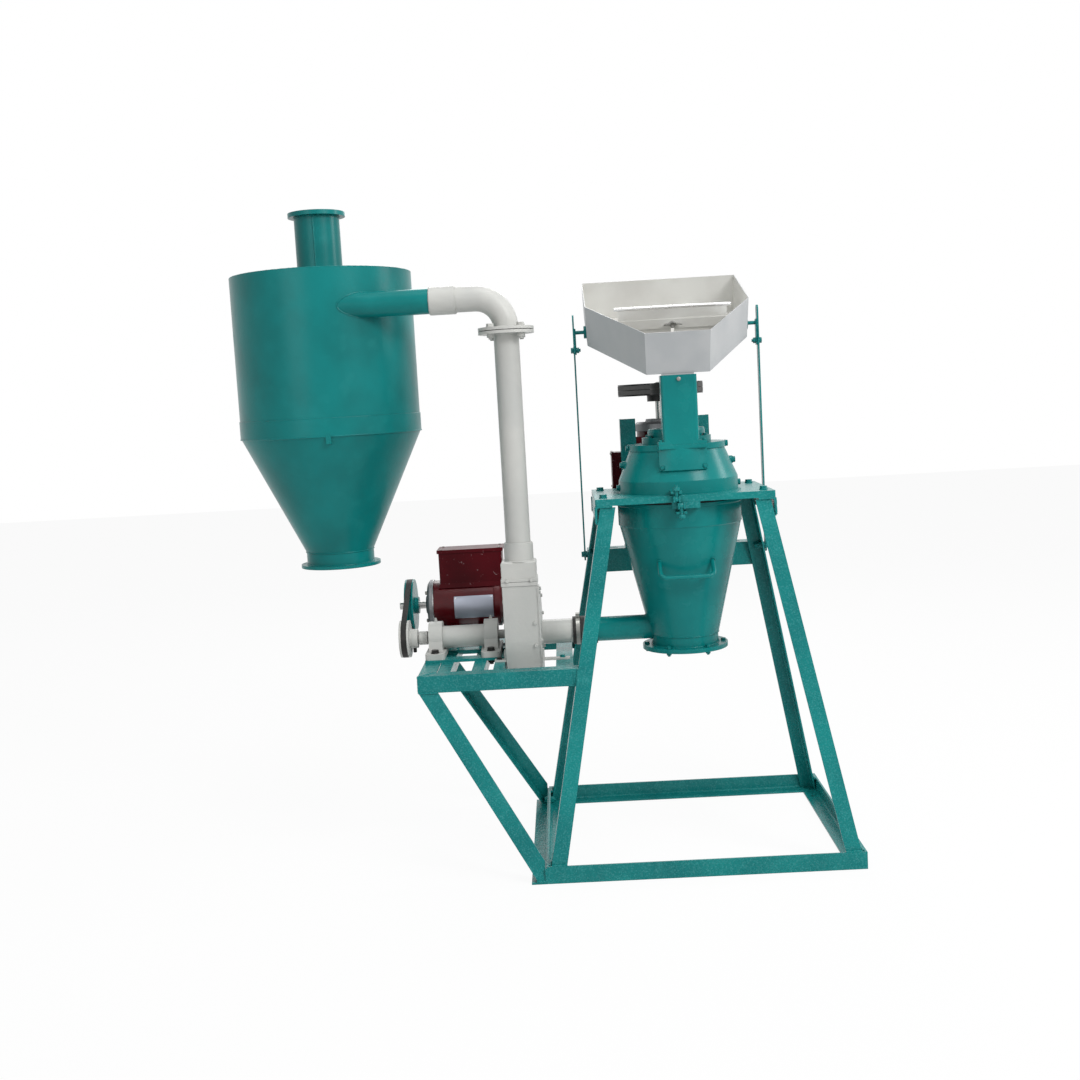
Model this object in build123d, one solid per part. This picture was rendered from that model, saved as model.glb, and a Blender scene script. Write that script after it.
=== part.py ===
from build123d import *
import math
import os

os.makedirs("parts", exist_ok=True)

# Driving dimensions in millimetres. X runs to the right, Y to the back and Z up from the floor.
# The mill stands over the origin, and its blower and cyclone are on the left.

# Stand
base_width = 914
base_depth = 780
base_leg = 50
base_thick = 6
leg_size = 45
leg_thick = 5
head_width = 524
head_depth = 428
head_leg = 50
head_thick = 5
plate_top = 1080
plate_thick = 20

# Mill
dome_radius = 181
dome_band = 38
dome_cone = 89
dome_top_radius = 144
dome_cap = 18
dome_wall = 12
housing_radius = 105
housing_height = 45
mill_shaft_radius = 25
mill_pulley_radius = 72
mill_pulley_width = 32
mill_pulley_bottom = 1375
cone_radius = 188
cone_neck_radius = 103
cone_top = 1052
sheet = 3

# Feed chute and hopper
chute_width = 106
chute_depth = 60
chute_front = -168
chute_top = 1428
hopper_rear_half = 256
hopper_front_half = 95
hopper_length = 684
hopper_taper = 355
hopper_height = 125
hopper_tilt = 17.6
hopper_front_y = -165
hopper_front_z = 1431
hopper_sheet = 2
hopper_flare = 2

# Mill motor
motor_x = -14
motor_y = 368
motor_radius = 90
motor_foot_y = 265
motor_low = 955
motor_high = 1294
mill_motor_pulley_radius = 140
mill_motor_pulley_width = 39

# Suction line and blower
duct_radius = 37.5
duct_wall = 2
duct_height = 662
blower_x = -498
blower_width = 104
volute_big = 150
volute_small = 120
impeller_radius = 100
blower_shaft_radius = 14
blower_pulley_radius = 57.5
blower_belt_x = -867
bearing_x = (-770, -599)
shaft_height = 62

# Shelf that carries the blower
shelf_top = duct_height - shaft_height
cone_bottom = shelf_top
shelf_left = -803
shelf_right = -351
shelf_half_depth = 285
shelf_leg = 50
shelf_thick = 5

# Blower motor
fan_motor_y = 202
fan_motor_z = shelf_top + 135
fan_motor_radius = 80
fan_motor_pulley_radius = 85

# Pressure pipe and cyclone
riser_y = -105
riser_x = -496
elbow_radius = 88
elbow_rise = 108
cyclone_x = -1072
cyclone_y = 123
cyclone_radius = 280
cyclone_top = 1798
cyclone_cylinder = 492
cyclone_flange_z = 890
cyclone_neck_z = cyclone_flange_z + 49
cyclone_neck_radius = 106
spigot_radius = 70
spigot_height = 192
inlet_drop = 114

# Clearances on the radius of a running fit, beside a moving face and round a bolt
running = 0.05
gap = 0.3
bolt_slack = 0.5

# Length of a cutter that goes through everything
through = 3000

X_AXIS = (1, 0, 0)
Y_AXIS = (0, 1, 0)
Z_AXIS = (0, 0, 1)


def block(x_span, y_span, z_span):
    """Box between the two limits of each axis."""
    size = [high - low for low, high in (x_span, y_span, z_span)]
    middle = [(high + low) / 2 for low, high in (x_span, y_span, z_span)]
    return Pos(*middle) * Box(*size)


def rod(start, axis, radius, length):
    """Round bar that starts at a point and runs along an axis."""
    bar = Cylinder(radius, length, align=(Align.CENTER, Align.CENTER, Align.MIN))
    return Plane(origin=start, z_dir=axis) * bar


def turned(profile, start=(0, 0, 0), axis=Z_AXIS):
    """Revolve (radius, height) points about an axis through the start point."""
    face = make_face(Polyline(*[(r, 0, h) for r, h in profile], close=True))
    return Plane(origin=start, z_dir=axis) * revolve(face, axis=Axis.Z)


def angle_bar(start, end, dir_a, dir_b, leg_a, leg_b, thick):
    """Rolled angle whose outer corner runs from start to end."""
    corner, a, b = Vector(*start), Vector(*dir_a), Vector(*dir_b)
    outline = [(0, 0), (leg_a, 0), (leg_a, thick), (thick, thick), (thick, leg_b), (0, leg_b)]
    face = make_face(Polyline(*[corner + a * i + b * j for i, j in outline], close=True)).face()
    root = face.vertices().sort_by_distance(corner + a * thick + b * thick)[0]
    return Solid.extrude(face.fillet_2d(thick, [root]), Vector(*end) - corner)


def bolt(size, grip, nut=True):
    """Hexagon bolt with washers: its head sits on z = 0 and the nut is under the grip."""
    washer = size * 0.2
    head = size * 0.65
    hexagon = RegularPolygon(size * 0.9, 6)
    reach = grip + (size * 1.3 if nut else 0)
    solid = Cylinder(size * 1.05, washer, align=(Align.CENTER, Align.CENTER, Align.MIN))
    solid += Pos(0, 0, washer) * extrude(hexagon, head)
    solid += Pos(0, 0, -reach) * Cylinder(size / 2, reach, align=(Align.CENTER, Align.CENTER, Align.MIN))
    if nut:
        solid += Pos(0, 0, -grip - washer - head) * extrude(hexagon, washer + head)
    return solid


def set_on(shape, points, axis):
    """Copies of a shape on several points, its z axis turned onto the given axis."""
    return [Plane(origin=point, z_dir=axis) * shape for point in points]


def holes(points, axis, radius, depth):
    """Cutters for clearance holes that run both ways from each point."""
    return [rod(Vector(*p) - Vector(*axis) * depth, axis, radius, 2 * depth) for p in points]


def ring_points(radius, count, start_angle=0, centre=(0, 0), height=0):
    """Points spaced evenly on a level circle."""
    turns = [math.radians(start_angle + 360 * i / count) for i in range(count)]
    return [(centre[0] + radius * math.cos(t), centre[1] + radius * math.sin(t), height) for t in turns]


def save(name, *shapes):
    """Write one node: its solids stay separate inside one file."""
    solids = [solid for shape in shapes for solid in shape.solids()]
    node = solids[0] if len(solids) == 1 else Compound(solids)
    node.label = name
    export_step(node, f"parts/{name}.step")


# Stand: a rectangle of angle iron on the floor, its side rails coped into the front and back rails
half_w = base_width / 2
half_d = base_depth / 2
base_rails = []
for side in (-1, 1):
    base_rails.append(angle_bar((-half_w, side * half_d, 0), (half_w, side * half_d, 0),
                                (0, -side, 0), Z_AXIS, base_leg, base_leg, base_thick))
for side in (-1, 1):
    rail = angle_bar((side * half_w, -half_d, 0), (side * half_w, half_d, 0),
                     (-side, 0, 0), Z_AXIS, base_leg, base_leg, base_thick)
    base_rails.append(rail - base_rails[0] - base_rails[1])

anchor_x = half_w - base_leg / 2 - 3
anchor_y = half_d - 110
anchor_radius = 7
anchors = [(x * anchor_x, y * anchor_y, 0) for x in (-1, 1) for y in (-1, 1)]
side_bolt_y = half_d - 72
side_bolt_points = [(-half_w - leg_thick, y * side_bolt_y, 25) for y in (-1, 1)]
for cutter in holes(anchors, Z_AXIS, anchor_radius, 20) + holes(side_bolt_points, X_AXIS, 6 + bolt_slack, 20):
    base_rails = [rail - cutter for rail in base_rails]

# Four legs lean in from the base corners to the head rails
plate_bottom = plate_top - plate_thick
head_bottom = plate_bottom - head_leg
foot_x = half_w - base_thick
foot_y = half_d - base_thick
top_x = head_width / 2 - head_thick
top_y = head_depth / 2 - head_thick
leg_rise = plate_bottom - head_thick - base_thick
lean_x = (foot_x - top_x) / (head_bottom - base_thick)
lean_y = (foot_y - top_y) / leg_rise


def leg_outer(height):
    """Outer corner of a leg at a height, as positive X and Y."""
    return foot_x - lean_x * (height - base_thick), foot_y - lean_y * (height - base_thick)


def coped(bar, others):
    """A bar with the room for other bars cut out of it."""
    for other in others:
        bar = bar - other
    return bar


def leg(side_x, side_y):
    """One leaning leg with level ends."""
    end_x, end_y = leg_outer(base_thick + leg_rise)
    return angle_bar((side_x * foot_x, side_y * foot_y, base_thick),
                     (side_x * end_x, side_y * end_y, base_thick + leg_rise),
                     (-side_x, 0, 0), (0, -side_y, 0), leg_size, leg_size, leg_thick)


front_legs = [coped(leg(side, -1), base_rails) for side in (-1, 1)]

# The rear legs carry a boss for the hanger strips of the hopper
hanger_y = 225
hanger_low_z = 870
hanger_high_z = 1528
strip_low = hanger_low_z - 20
hanger_inner = leg_outer(strip_low)[0] + 3
strip_thick = 5
boss_inner = leg_outer(hanger_low_z)[0] - 16
hanger_bolt = 10
rear_legs = []
for side in (-1, 1):
    boss = rod((side * boss_inner, hanger_y, hanger_low_z), (side, 0, 0), 11, hanger_inner - gap - boss_inner)
    hole = holes([(side * boss_inner, hanger_y, hanger_low_z)], X_AXIS, hanger_bolt / 2 + running, 60)[0]
    rear_legs.append(coped(leg(side, 1), base_rails) + boss - hole)

# Head rails and the thick top plate with its four corner bolts
half_head = head_width / 2
half_head_d = head_depth / 2
corner_x = half_head - 26
corner_y = half_head_d - 62
corner_points = [(x * corner_x, y * corner_y, plate_top) for x in (-1, 1) for y in (-1, 1)]
corner_cutters = holes(corner_points, Z_AXIS, 6 + bolt_slack, 40)
head_rails = []
for side in (-1, 1):
    rail = angle_bar((side * half_head, -half_head_d, plate_bottom),
                     (side * half_head, half_head_d, plate_bottom),
                     (-side, 0, 0), (0, 0, -1), head_leg, head_leg, head_thick)
    for cutter in corner_cutters:
        rail = rail - cutter
    head_rails.append(rail)

mill_bore = dome_radius - dome_wall
top_plate = block((-half_head, half_head), (-half_head_d, half_head_d), (plate_bottom, plate_top))
top_plate = fillet(top_plate.edges().filter_by(Axis.Z), 6)
top_plate -= rod((0, 0, plate_bottom - 1), Z_AXIS, mill_bore, plate_thick + 2)
for cutter in corner_cutters:
    top_plate -= cutter

# Rear cross rail on the back of the rear legs, with slots for the motor uprights
cross_top = motor_low - 75
cross_front = leg_outer(cross_top - 75)[1] + 0.4
cross_half = leg_outer(cross_top - 37)[0] - 4
cross_rail = angle_bar((-cross_half, cross_front, cross_top), (cross_half, cross_front, cross_top),
                       Y_AXIS, (0, 0, -1), 75, 75, base_thick)
upright_x = 119
upright_slots = [(motor_x + side * upright_x, motor_foot_y + 22) for side in (-1, 1)]
for x, y in upright_slots + [(side * 200, motor_foot_y + 22) for side in (-1, 1)]:
    cross_rail -= Pos(x, y, cross_top) * extrude(SlotOverall(34, 11), 20, both=True)

# Two uprights stand on the cross rail and are tied to the top plate at half height
upright_leg = 50
upright_foot = 6
upright_top = motor_high + 6
motor_foot_z = (motor_low + 117, motor_low + 285)
foot_bolt_z = (motor_foot_z[0] + 24, motor_foot_z[1] - 24)
motor_foot_thick = 12
foot_bolt_points = [(motor_x + side * upright_x, motor_foot_y + motor_foot_thick, z)
                    for side in (-1, 1) for z in foot_bolt_z]
tie_low = plate_bottom - 62
tie_points = [(motor_x + side * upright_x, motor_foot_y - leg_thick - 6, tie_low + 22) for side in (-1, 1)]
tie_plate_points = [(motor_x + side * upright_x, half_head_d - 20, plate_top) for side in (-1, 1)]
uprights = []
plate_ties = []
for side in (-1, 1):
    inner = motor_x + side * (upright_x - upright_leg / 2)
    outer = motor_x + side * (upright_x + upright_leg / 2)
    column = angle_bar((outer, motor_foot_y - leg_thick, cross_top + upright_foot),
                       (outer, motor_foot_y - leg_thick, upright_top),
                       (-side, 0, 0), Y_AXIS, upright_leg, upright_leg, leg_thick)
    pad = block(sorted((inner, outer)), (motor_foot_y - leg_thick, motor_foot_y + 42),
                (cross_top, cross_top + upright_foot))
    column += pad
    column -= rod((motor_x + side * upright_x, motor_foot_y + 22, cross_top - 5), Z_AXIS, 5 + bolt_slack, 20)
    for cutter in holes(foot_bolt_points + tie_points, Y_AXIS, 5 + bolt_slack, 30):
        column -= cutter
    uprights.append(column)
    tie = angle_bar((inner, motor_foot_y - leg_thick, plate_bottom),
                    (outer, motor_foot_y - leg_thick, plate_bottom),
                    (0, -1, 0), (0, 0, -1), motor_foot_y - leg_thick - half_head_d + 40, 62, 6)
    for cutter in (holes([tie_points[0 if side < 0 else 1]], Y_AXIS, 5 + bolt_slack, 30)
                   + holes([tie_plate_points[0 if side < 0 else 1]], Z_AXIS, 5 + bolt_slack, 60)):
        tie -= cutter
        top_plate -= cutter
    plate_ties.append(tie)

frame_bolts = set_on(bolt(12, plate_thick + head_thick), corner_points, Z_AXIS)
frame_bolts += set_on(bolt(12, leg_thick + base_thick), side_bolt_points, (-1, 0, 0))
frame_bolts += set_on(bolt(10, motor_foot_thick + leg_thick), foot_bolt_points, Y_AXIS)
frame_bolts += set_on(bolt(10, 6 + leg_thick), tie_points, (0, -1, 0))
frame_bolts += set_on(bolt(10, plate_thick + 6), tie_plate_points, Z_AXIS)
frame_bolts += set_on(bolt(10, upright_foot + base_thick),
                      [(x, y, cross_top + upright_foot) for x, y in upright_slots], Z_AXIS)

save("base_rails", *base_rails)
save("legs", *front_legs, *rear_legs)
save("head_rails", *head_rails)
save("top_plate", top_plate)
save("motor_frame", cross_rail, *uprights, *plate_ties)

# Dome cover with the bearing housing on its top
dome_z = [plate_top, plate_top + dome_band, plate_top + dome_band + dome_cone]
dome_z.append(dome_z[2] + dome_cap)
dome_top = dome_z[3]
inner_top = dome_top_radius - dome_wall
housing_bore = 55
tube_radius = 68
dome = turned([(mill_bore, dome_z[0]), (dome_radius, dome_z[0]), (dome_radius, dome_z[1]),
               (dome_top_radius, dome_z[2]), (dome_top_radius + 3, dome_z[2]),
               (dome_top_radius + 3, dome_top), (tube_radius, dome_top), (tube_radius, dome_z[2] - 2),
               (inner_top, dome_z[2] - 2), (mill_bore, dome_z[1] - 3)])
feed_half = chute_width / 2 - 8
feed_back = chute_front + chute_depth
saddle_low = dome_z[2] - 57
feed_hole_low = saddle_low + 14
feed_hole = block((-feed_half, feed_half), (-dome_top_radius - 20, feed_back - 4),
                  (feed_hole_low, dome_top + 5))
dome -= feed_hole
slope = (dome_radius - dome_top_radius) / dome_cone


def dome_at(height):
    """Outer radius of the dome at a height."""
    return dome_radius - slope * max(0, height - dome_z[1])


dome_bolts = []
dome_angles = [0, 60, 120, 180]
for height in (dome_z[0] + 16, dome_z[1] + 47, dome_z[2] + 9):
    radius = dome_top_radius + 3 if height > dome_z[2] else dome_at(height)
    radius += 6 if dome_z[1] < height < dome_z[2] else 0
    for angle in dome_angles:
        t = math.radians(angle)
        out = (math.cos(t), math.sin(t), 0)
        point = (radius * out[0], radius * out[1], height)
        if dome_z[1] < height < dome_z[2]:
            dome += rod((radius * out[0] * 0.92, radius * out[1] * 0.92, height), out, 12, radius * 0.08)
        dome -= rod(Vector(*point) - Vector(*out) * 7, out, 5 + running, 20)
        dome_bolts += set_on(bolt(10, 6.9, nut=False), [point], out)

# Bearing housing: a stepped turning whose tube reaches down into the dome and holds both bearings
tube_bottom = dome_z[1] + 12
housing_top = dome_top + housing_height
step = dome_top + 20
housing = turned([(housing_bore, tube_bottom), (tube_radius - gap, tube_bottom),
                  (tube_radius - gap, dome_top), (housing_radius, dome_top), (housing_radius, step),
                  (housing_radius - 18, step),
                  (housing_radius - 18, housing_top - 8), (housing_radius - 21, housing_top),
                  (mill_shaft_radius + 3, housing_top), (mill_shaft_radius + 3, housing_top - 8),
                  (housing_bore, housing_top - 8)])
housing_points = ring_points(housing_radius - 9, 6, 30, height=step)
for point in housing_points:
    cutter = rod((point[0], point[1], dome_top - 12), Z_AXIS, 4 + running, 60)
    housing -= cutter
    dome -= cutter
dome_bolts += set_on(bolt(8, step - dome_top + 11, nut=False), housing_points, Z_AXIS)


def ball_bearing(start, axis, outer, inner, width):
    """Sealed ball bearing as one ring with a shallow groove in each face."""
    middle = (outer + inner) / 2
    band = (outer - inner) * 0.18
    deep = 1.5
    return turned([(inner, 0), (middle - band, 0), (middle - band, deep), (middle + band, deep),
                   (middle + band, 0), (outer, 0), (outer, width), (middle + band, width),
                   (middle + band, width - deep), (middle - band, width - deep),
                   (middle - band, width), (inner, width)], start, axis)


bearing_width = 29
upper_bearing_z = housing_top - 8 - bearing_width
bearings = [ball_bearing((0, 0, height), Z_AXIS, housing_bore, mill_shaft_radius + running, bearing_width)
            for height in (tube_bottom, upper_bearing_z)]

# Grinding chamber: toothed liner in the plate bore and a slotted screen under the rotor
liner_inner = mill_bore - 12
liner_high = 42
liner_low = plate_bottom + 10
liner = rod((0, 0, liner_low), Z_AXIS, mill_bore - gap, liner_high)
liner -= rod((0, 0, plate_bottom), Z_AXIS, liner_inner, through)
for x, y, _ in ring_points(liner_inner, 18, 10):
    t = math.degrees(math.atan2(y, x))
    liner -= Pos(x, y, liner_low + liner_high / 2) * Rot(0, 0, t) * Box(8, 9, liner_high + 8)
screen_hole = 60
slot_long = 76
screen = rod((0, 0, plate_bottom + 2), Z_AXIS, mill_bore - gap, liner_low - plate_bottom - 2 - gap)
screen -= rod((0, 0, plate_bottom), Z_AXIS, screen_hole, 20)
for angle in range(0, 360, 20):
    slot = Pos(screen_hole + 14 + slot_long / 2, 0, plate_bottom + 5) * Box(slot_long, 9, 20)
    screen -= Rot(0, 0, angle) * slot

# Rotor: shaft with a shoulder between the bearings, disc and six standing beaters
disc_z = plate_bottom + 30
disc_radius = liner_inner - 13
mill_shaft_bottom = disc_z - 12
mill_shaft_top = mill_pulley_bottom + mill_pulley_width + 6
mill_shaft = turned([(0, mill_shaft_bottom), (mill_shaft_radius - 3, mill_shaft_bottom),
                     (mill_shaft_radius, mill_shaft_bottom + 3),
                     (mill_shaft_radius, tube_bottom + bearing_width + gap),
                     (mill_shaft_radius + 6, tube_bottom + bearing_width + gap),
                     (mill_shaft_radius + 6, upper_bearing_z - gap),
                     (mill_shaft_radius, upper_bearing_z - gap),
                     (mill_shaft_radius, mill_shaft_top - 3), (mill_shaft_radius - 3, mill_shaft_top),
                     (0, mill_shaft_top)])
hub_fit = 0.02
rotor_disc = turned([(mill_shaft_radius + hub_fit, disc_z), (disc_radius, disc_z), (disc_radius, disc_z + 12),
                     (48, disc_z + 12), (44, disc_z + 36), (mill_shaft_radius + hub_fit, disc_z + 36)])
beaters = []
for angle in range(0, 360, 60):
    beater = Pos(disc_radius - 26, 0, disc_z + 12 + 15) * Box(48, 12, 30)
    beater += Pos(disc_radius - 26, 0, disc_z + 12 + 4) * Box(48, 34, 8)
    beaters.append(Rot(0, 0, angle) * beater)


def v_profile(radius, width, grooves, depth, top):
    """Outline of a pulley rim from its lower to its upper edge, with V grooves at the given heights."""
    points = [(radius, 0)]
    lower = top / 2 - depth * math.tan(math.radians(18))
    for middle in grooves:
        points += [(radius, middle - top / 2), (radius - depth, middle - lower),
                   (radius - depth, middle + lower), (radius, middle + top / 2)]
    return points + [(radius, width)]


def v_belt(centre_a, radius_a, centre_b, radius_b, plane, top, thick, proud=0.6):
    """V belt round two pulleys: two straight runs and a wrap round each pulley, in the given plane."""
    a, b = Vector(*centre_a), Vector(*centre_b)
    low = top / 2 - thick * math.tan(math.radians(18))
    inner_a, inner_b = radius_a + proud - thick, radius_b + proud - thick
    along = (b - a).normalized()
    across = Vector(-along.Y, along.X, 0)
    part = (inner_a - inner_b) / (b - a).length
    up = Vector(0, 0, 1)
    belt = None
    for side in (1, -1):
        out = along * part + across * (side * math.sqrt(1 - part ** 2))
        start = a + out * inner_a
        outline = [start - up * low, start + out * thick - up * (top / 2),
                   start + out * thick + up * (top / 2), start + up * low]
        run = Solid.extrude(make_face(Polyline(*outline, close=True)).face(), b + out * inner_b - start)
        belt = run if belt is None else belt + run
    half = math.degrees(math.acos(part))
    heading = math.degrees(math.atan2(along.Y, along.X))
    for centre, inner, first, turn in ((a, inner_a, heading + half, 360 - 2 * half),
                                       (b, inner_b, heading - half, 2 * half)):
        face = make_face(Polyline((inner, 0, -low), (inner + thick, 0, -top / 2), (inner + thick, 0, top / 2),
                                  (inner, 0, low), close=True))
        wrap = Rot(0, 0, first) * revolve(face, axis=Axis.Z, revolution_arc=turn)
        belt += Pos(centre.X, centre.Y, 0) * wrap
    return plane * belt


belt_top = 13
belt_thick = 8
groove_side = gap / math.cos(math.radians(18))
belt_middle = mill_pulley_bottom + mill_pulley_width / 2
belt_heights = [belt_middle - 7.5, belt_middle + 7.5]
groove = (belt_thick + 2.5, belt_top + 2 * groove_side - 0.3)
mill_pulley = turned([(mill_shaft_radius + hub_fit, 0)]
                     + v_profile(mill_pulley_radius, mill_pulley_width, [mill_pulley_width / 2 - 7.5,
                                 mill_pulley_width / 2 + 7.5], *groove)
                     + [(46, mill_pulley_width), (46, mill_pulley_width - 5), (34, mill_pulley_width - 5),
                        (34, mill_pulley_width), (mill_shaft_radius + hub_fit, mill_pulley_width)],
                     (0, 0, mill_pulley_bottom))
mill_belts = [v_belt((0, 0), mill_pulley_radius, (motor_x, motor_y), mill_motor_pulley_radius,
                     Plane(origin=(0, 0, height)), belt_top, belt_thick) for height in belt_heights]

# Lower cone with its rim, neck and bottom cover
cone_wall_top = cone_top - 72
neck_z = cone_bottom + 40
cone_rim = cone_neck_radius + 28
cone_taper = (cone_radius - 3 - cone_neck_radius - 2) / (cone_wall_top - neck_z)


def cone_at(height):
    """Outer radius of the lower cone at a height."""
    return cone_neck_radius + 2 + cone_taper * (height - neck_z)


cone_outer = [(0, cone_bottom), (cone_rim, cone_bottom), (cone_rim, cone_bottom + 8),
              (cone_neck_radius, cone_bottom + 8), (cone_neck_radius, neck_z), (cone_neck_radius + 2, neck_z),
              (cone_radius - 3, cone_wall_top), (cone_radius, cone_wall_top + 3), (cone_radius, cone_top - 8),
              (cone_radius + 3, cone_top - 8), (cone_radius + 3, cone_top), (0, cone_top)]
cone_inner = [(0, cone_bottom - 1), (cone_neck_radius - sheet, cone_bottom - 1),
              (cone_neck_radius - sheet, neck_z),
              (cone_radius - 3 - sheet, cone_wall_top), (cone_radius - sheet, cone_wall_top + 3),
              (cone_radius - sheet, cone_top + 1), (0, cone_top + 1)]
cone_solid = turned(cone_outer)
lower_cone = cone_solid - turned(cone_inner)
bottom_points = ring_points(cone_neck_radius + 15, 6, 0, height=cone_bottom + 8)
cover_plate = 5
bottom_cover = rod((0, 0, cone_bottom - cover_plate), Z_AXIS, cone_rim, cover_plate)
for cutter in holes(bottom_points, Z_AXIS, 5 + bolt_slack, 30):
    lower_cone -= cutter
    bottom_cover -= cutter
bottom_bolts = set_on(bolt(8, 8 + cover_plate), bottom_points, Z_AXIS)
pipe_bore = rod((-cone_at(duct_height) - 20, 0, duct_height), X_AXIS, duct_radius - duct_wall, 60)
lower_cone -= pipe_bore
sleeve_span = (-346, -270)
sleeve_middle = sum(sleeve_span) / 2
outlet_pipe = rod((sleeve_middle + 6, 0, duct_height), X_AXIS, duct_radius, -sleeve_middle - 6 - 60)
outlet_pipe -= rod((sleeve_middle, 0, duct_height), X_AXIS, duct_radius - duct_wall, through)
outlet_pipe -= cone_solid
cone_gasket = rod((0, 0, cone_top), Z_AXIS, cone_radius - 2, plate_bottom - cone_top)
cone_gasket -= rod((0, 0, cone_top - 1), Z_AXIS, cone_radius - 16, 20)
sleeve_radius = duct_radius + 5.5
clamp_wide = 12
pipe_sleeve = rod((sleeve_span[0], 0, duct_height), X_AXIS, sleeve_radius, sleeve_span[1] - sleeve_span[0])
pipe_sleeve -= rod((sleeve_span[0] - 1, 0, duct_height), X_AXIS, duct_radius + running, through)
clamps = []
for x in (sleeve_span[0] + 10, sleeve_span[1] - 10 - clamp_wide):
    band = rod((x, 0, duct_height), X_AXIS, sleeve_radius + 1.5, clamp_wide)
    band -= rod((x - 1, 0, duct_height), X_AXIS, sleeve_radius + running, clamp_wide + 2)
    band += block((x, x + clamp_wide), (-14, 14),
                  (duct_height + sleeve_radius + 0.3, duct_height + sleeve_radius + 10.5))
    clamps.append(band)

# U handle bent from round bar on the front of the cone
grip_z = cone_wall_top - 102
grip_x = 79
grip_y = -math.sqrt(cone_at(grip_z) ** 2 - grip_x ** 2)
grip_out = 48
grip_drop = 42
grip_path = FilletPolyline((-grip_x, grip_y + 2, grip_z), (-grip_x, grip_y - grip_out, grip_z - grip_drop),
                           (grip_x, grip_y - grip_out, grip_z - grip_drop), (grip_x, grip_y + 2, grip_z),
                           radius=20)
grip_face = Plane(origin=grip_path.position_at(0), z_dir=grip_path.tangent_at(0)) * Circle(6.5)
cone_handle = sweep(grip_face, path=grip_path) - cone_solid

# Swing clamps on the front: a screw on a pin between two ears, its nut over a split lug
clamp_y = -half_head_d - 12
pin_radius = 4
clamp_parts = []


def swing_clamp(x, pivot_z, up, reach, body_y):
    """Ears, pin and lug prongs of one clamp, and the swinging screw."""
    ears = []
    for side in (-1, 1):
        near, far = side * 5.3, side * 10.3
        ears.append(block(sorted((x + near, x + far)), (clamp_y - 9, -half_head_d),
                          (pivot_z - 9, pivot_z + 9)))
    pin = rod((x - 12, clamp_y, pivot_z), X_AXIS, pin_radius, 24)
    ears = [ear - rod((x - 20, clamp_y, pivot_z), X_AXIS, pin_radius, 40) for ear in ears]
    lug_low, lug_high = pivot_z + up * (reach - 8), pivot_z + up * reach
    prongs = [block(sorted((x + side * 6, x + side * 16)), (clamp_y - 3, body_y), sorted((lug_low, lug_high)))
              for side in (-1, 1)]
    eye = rod((x - 5, clamp_y, pivot_z), X_AXIS, 8.5, 10)
    screw = eye + rod((x, clamp_y, pivot_z), (0, 0, up), 5, reach + 18)
    screw += rod((x, clamp_y, pivot_z + up * (reach + 0.6)), (0, 0, up), 11, 11)
    screw -= rod((x - 20, clamp_y, pivot_z), X_AXIS, pin_radius + running, 40)
    return ears + [pin], prongs, screw


dome_screw_x = -26
cone_screw_x = -13
upper_ears, upper_prongs, dome_screw = swing_clamp(dome_screw_x, plate_top - 10, 1, 24, -dome_radius + 6)
lower_ears, lower_prongs, cone_screw = swing_clamp(cone_screw_x, plate_bottom - 10, -1, 24, -cone_radius + 6)
clamp_bracket = block((-39, 43), (-half_head_d, -cone_radius - 4.5), (plate_bottom - 19, plate_bottom))
dome_body = turned([(0, dome_z[0]), (dome_radius, dome_z[0]), (dome_radius, dome_z[1]), (0, dome_z[1])])
clamp_parts += upper_ears + [prong - dome_body for prong in upper_prongs]
clamp_parts += lower_ears + [clamp_bracket] + [prong - cone_solid for prong in lower_prongs]

# Feed saddle: a closed hood bolted to the front of the dome, with a ledge that carries the square chute
saddle_x = (-67, 75)
ledge_thick = 12
ledge_low = dome_top - ledge_thick
hood_wall = 5
hood_foot = dome_at(saddle_low) + 8
hood = turned([(dome_at(saddle_low), saddle_low), (hood_foot, saddle_low), (-chute_front, ledge_low),
               (-chute_front, dome_top), (dome_top_radius + 3, dome_top), (dome_top_radius + 3, dome_z[2]),
               (dome_top_radius, dome_z[2])])
hood_room = turned([(0, feed_hole_low), (hood_foot - hood_wall - 1, feed_hole_low),
                    (-chute_front - hood_wall, ledge_low), (-chute_front - hood_wall, dome_top + 1),
                    (0, dome_top + 1)])
flange_thick = 10
ledge = block(saddle_x, (chute_front, feed_back + 6), (ledge_low, dome_top))
ledge -= rod((0, 0, 0), Z_AXIS, dome_top_radius + 3, through)
saddle = (hood & block(saddle_x, (-200, -60), (saddle_low, dome_top))) + ledge
saddle -= hood_room & block((-feed_half, feed_half), (-200, 0), (saddle_low, dome_top + 1))
saddle_bolts = []
for x in (saddle_x[0] + 9, saddle_x[1] - 9):
    height = saddle_low + 9
    radius = hood_foot - 1
    out = (x / radius, -math.sqrt(1 - (x / radius) ** 2), 0)
    seat = Vector(0, 0, height) + Vector(*out) * (radius - 1.2)
    cutter = rod(seat - Vector(*out) * 14, out, 3 + running, 40)
    saddle -= cutter
    saddle -= rod(seat, out, 8, 20)
    dome -= cutter
    saddle_bolts += set_on(bolt(6, 13.5, nut=False), [seat], out)

chute_half = chute_width / 2
chute_centre = (0, chute_front + chute_depth / 2)
chute_wall = 3
chute_base = dome_top + flange_thick


def chute_section(inset):
    """Square tube section with rounded bends."""
    return RectangleRounded(chute_width - 2 * inset, chute_depth - 2 * inset, 9 - inset)


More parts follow.
